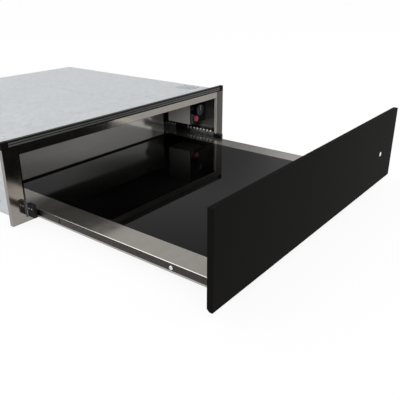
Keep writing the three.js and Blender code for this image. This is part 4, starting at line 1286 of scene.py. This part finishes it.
class WARMING_OT_housing(bpy.types.Operator):
    """Models the pressed sheets of the housing and the screws that hold them"""

    bl_idname = "warming.housing"
    bl_label = "Housing"

    def execute(self, context):
        sizes = context.scene.warming_drawer.housing
        self.cover(sizes)
        self.pan(sizes)
        for word, side in SIDES:
            self.side_wall(word, side, sizes)
        self.back()
        return {"FINISHED"}

    def cover(self, sizes):
        low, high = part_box("top_cover")
        cover = copy_of("top_cover")
        # the row stands off the middle, clear of the slots
        press_bead_row(cover, 3, pitch=140 * MM, width=90 * MM, reach=(low.y + 60 * MM, high.y - 60 * MM),
                       depth=sizes.bead_depth, slope=sizes.bead_slope, shift=-49 * MM)
        stand_in(soften(cover, 0.3 * MM, 2, 50), "top_cover")
        edge = 8 * MM
        places = [(x, y, high.z) for x in (low.x + edge, high.x - edge) for y in SCREW_ROW]
        places += [(x, high.y - edge, high.z) for x in (-0.13, 0.13)]
        screws("cover_screws", places, "Z")

    def pan(self, sizes):
        low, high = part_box("base_pan")
        pan = block(low, high)
        press_bead_row(pan, 4, pitch=110 * MM, width=24 * MM, reach=(low.y + 60 * MM, high.y - 90 * MM),
                       depth=sizes.bead_depth, slope=sizes.bead_slope)
        stand_in(soften(pan, 0.3 * MM), "base_pan")

    def side_wall(self, word, side, sizes):
        node = f"side_wall_{word}"
        low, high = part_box(node)
        wall = block(low, high)
        for z in (52 * MM, 92 * MM):
            press_bead(wall, "X", (low.y + 110 * MM, high.y - 50 * MM), (z, z + 20 * MM),
                       side * sizes.bead_depth, sizes.bead_slope)
        stand_in(soften(wall, 0.3 * MM), node)
        repaint(wall, hazy_stainless(), lambda face: face.normal.x * side < -0.5)
        _, outer_x = inner_and_outer(low, high, side)
        low_row, high_row = 22.5 * MM, 128 * MM
        places = [(outer_x, y, low_row) for y in (0.06, 0.26, 0.46)]
        places += [(outer_x, y, high_row) for y in SCREW_ROW]
        screws(f"wall_screws_{word}", places, outward(side))

    def back(self):
        _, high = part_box("back_wall")
        softened_copy("back_wall", 0.3 * MM, 2, 50)
        places = [(x, high.y, z) for x in (-0.262, 0.262) for z in (0.02, 0.075)]
        places += [(x, high.y, 0.129) for x in (-0.2, -0.08, 0.08)]
        screws("back_wall_screws", places, "Y")


class WARMING_OT_fittings(bpy.types.Operator):
    """Models the fan, the heater, the mains connection and the push latch at the back"""

    bl_idname = "warming.fittings"
    bl_label = "Rear fittings"

    def execute(self, context):
        for node in ("fan_guard", "fan_guard_stay_left", "fan_guard_stay_right"):
            softened_copy(node, 0.25 * MM, 2, 50)
        softened_copy("fan_wheel", 0.2 * MM, 1, 50)
        stand_in(copy_of("heating_element"), "heating_element", smooth_angle=50)
        self.motor()
        self.cutout()
        self.mains()
        self.latch()
        return {"FINISHED"}

    def motor(self):
        low, high, middle = box_of("fan_motor")
        radius = (high.x - low.x) / 2
        can = round_bar(radius, (middle.x, low.y, middle.z), high.y - low.y, sides=64)
        bevel_edges(can, all_above("Y", high.y), 3 * MM, 4)
        step_face(can, lambda face: face.normal.y > 0.99 and face.calc_area() > DISC,
                  [(6 * MM, -1.5 * MM), (9 * MM, 1.2 * MM)])
        lug = 2 * MM
        turns = [math.radians(angle) for angle in (45, 135, 225, 315)]
        ways = [Vector((math.cos(turn), 0, math.sin(turn))) for turn in turns]
        outs = [way * (radius + 3 * MM) for way in ways]
        lugs = [round_bar(5.5 * MM, (middle.x + out.x, low.y, middle.z + out.z), lug, sides=32) for out in outs]
        combine(can, together(lugs), "UNION")
        stand_in(soften(can, 0.3 * MM, 2, 40), "fan_motor")
        outs = [way * (radius + 4 * MM) for way in ways]
        places = [(middle.x + out.x, low.y + lug, middle.z + out.z) for out in outs]
        screws("motor_screws", places, "Y", 2.6 * MM)

    def cutout(self):
        _, high, middle = box_of("safety_cutout")
        softened_copy("safety_cutout", 0.4 * MM, 2, 40)
        places = [(middle.x + side * 4 * MM, high.y, middle.z) for _, side in SIDES]
        wire_tabs("cutout_tabs", places, 6 * MM, 6 * MM)

    def mains(self):
        low, high, middle = box_of("terminal_box")
        box = block(low, high)
        lid = high.y - 5 * MM
        divide(box, "Y", (lid - 0.5 * MM, lid + 0.5 * MM))

        def is_seam(face):
            return abs(face.normal.y) < 0.1 and abs(face.calc_center_median().y - lid) < 0.3 * MM

        select_in(box, "FACE", is_seam)
        bpy.ops.mesh.extrude_region_shrink_fatten(TRANSFORM_OT_shrink_fatten={"value": -0.8 * MM})
        leave_edit()
        sunk = 1.2 * MM
        step_face(box, lambda face: face.normal.y > 0.9, [(3 * MM, -sunk)])
        stand_in(soften(box, 0.4 * MM, 2, 50), "terminal_box")
        places = [(middle.x + dx, high.y - sunk, middle.z + dz)
                  for dx in (-20 * MM, 20 * MM) for dz in (-11 * MM, 11 * MM)]
        screws("terminal_lid_screws", places, "Y", 2.4 * MM, sunk)
        self.gland()
        low, high, middle = box_of("wiring_harness")
        sleeve = round_bar((high.x - low.x) / 2, (middle.x, low.y, middle.z), high.y - low.y, sides=32)
        stand_in(soften(sleeve, 0.6 * MM), "wiring_harness", smooth_angle=50)

    def gland(self):
        """A six-sided nut over a round body with a domed end, with the bore that the lead passes through."""
        low, high, middle = box_of("cable_gland")
        radius = (high.x - low.x) / 2
        nut = round_bar(radius, (middle.x, middle.y, high.z - 5 * MM), 5 * MM, "Z", 6)
        dome = round_bar(radius - 0.6 * MM, (middle.x, middle.y, low.z), high.z - low.z - 4 * MM, "Z", 48)
        bevel_edges(dome, all_below("Z", low.z), 3 * MM, 5)
        combine(nut, dome, "UNION")
        combine(nut, round_bar(3.75 * MM, (middle.x, middle.y, low.z - MM), high.z - low.z + 2 * MM, "Z", 32))
        stand_in(soften(nut, 0.25 * MM, 2, 40), "cable_gland")

    def latch(self):
        low, high, middle = box_of("push_latch")
        plunger_low, plunger_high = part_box("latch_plunger")
        radius = (plunger_high.x - plunger_low.x) / 2
        body = block(low, high)
        bevel_edges(body, all_below("Y", low.y), 1.2 * MM, 3)
        combine(body, round_bar(radius + 0.3 * MM, (middle.x, low.y - MM, middle.z), 12 * MM))
        stand_in(soften(body, 0.4 * MM, 2, 50), "push_latch")
        places = [(middle.x + dx, low.y, middle.z) for dx in (-10 * MM, 10 * MM)]
        screws("latch_screws", places, "-Y", 2 * MM, 1 * MM)
        rod = round_bar(radius, (middle.x, plunger_low.y, middle.z), plunger_high.y - plunger_low.y)
        bevel_edges(rod, all_below("Y", plunger_low.y), 2.2 * MM, 6)
        stand_in(rod, "latch_plunger", smooth_angle=50)


# ------------------------------------------------------------------ panel and start

PIECE_OPERATORS = (
    WARMING_OT_studio, WARMING_OT_drawer_front, WARMING_OT_tray, WARMING_OT_slides, WARMING_OT_controls,
    WARMING_OT_front_frame, WARMING_OT_housing, WARMING_OT_fittings,
)


class WARMING_PT_pieces(bpy.types.Panel):
    """Lists the steps that model the drawer"""

    bl_idname = "WARMING_PT_pieces"
    bl_label = "Warming drawer"
    bl_space_type = "VIEW_3D"
    bl_region_type = "UI"
    bl_category = "Warming drawer"

    def draw(self, context):
        for operator in PIECE_OPERATORS:
            self.layout.operator(operator.bl_idname)


CLASSES = (
    FinishSettings, StudioSettings, FrontSettings, TraySettings, SlideSettings, ControlSettings,
    HousingSettings, DrawerSettings, *PIECE_OPERATORS, WARMING_PT_pieces,
)


def register():
    for cls in CLASSES:
        bpy.utils.register_class(cls)
    bpy.types.Scene.warming_drawer = bpy.props.PointerProperty(type=DrawerSettings)


def unregister():
    del bpy.types.Scene.warming_drawer
    for cls in reversed(CLASSES):
        bpy.utils.unregister_class(cls)


def main():
    register()
    bpy.ops.warming.studio()
    for node, piece in frame["nodes"].items():
        piece.data.materials.clear()
        piece.data.materials.append(FINISHES[slot_of(node)]())
    bpy.ops.warming.drawer_front()
    bpy.ops.warming.tray()
    bpy.ops.warming.slides()
    bpy.ops.warming.controls()
    bpy.ops.warming.front_frame()
    bpy.ops.warming.housing()
    bpy.ops.warming.fittings()


if __name__ == "__main__":
    main()
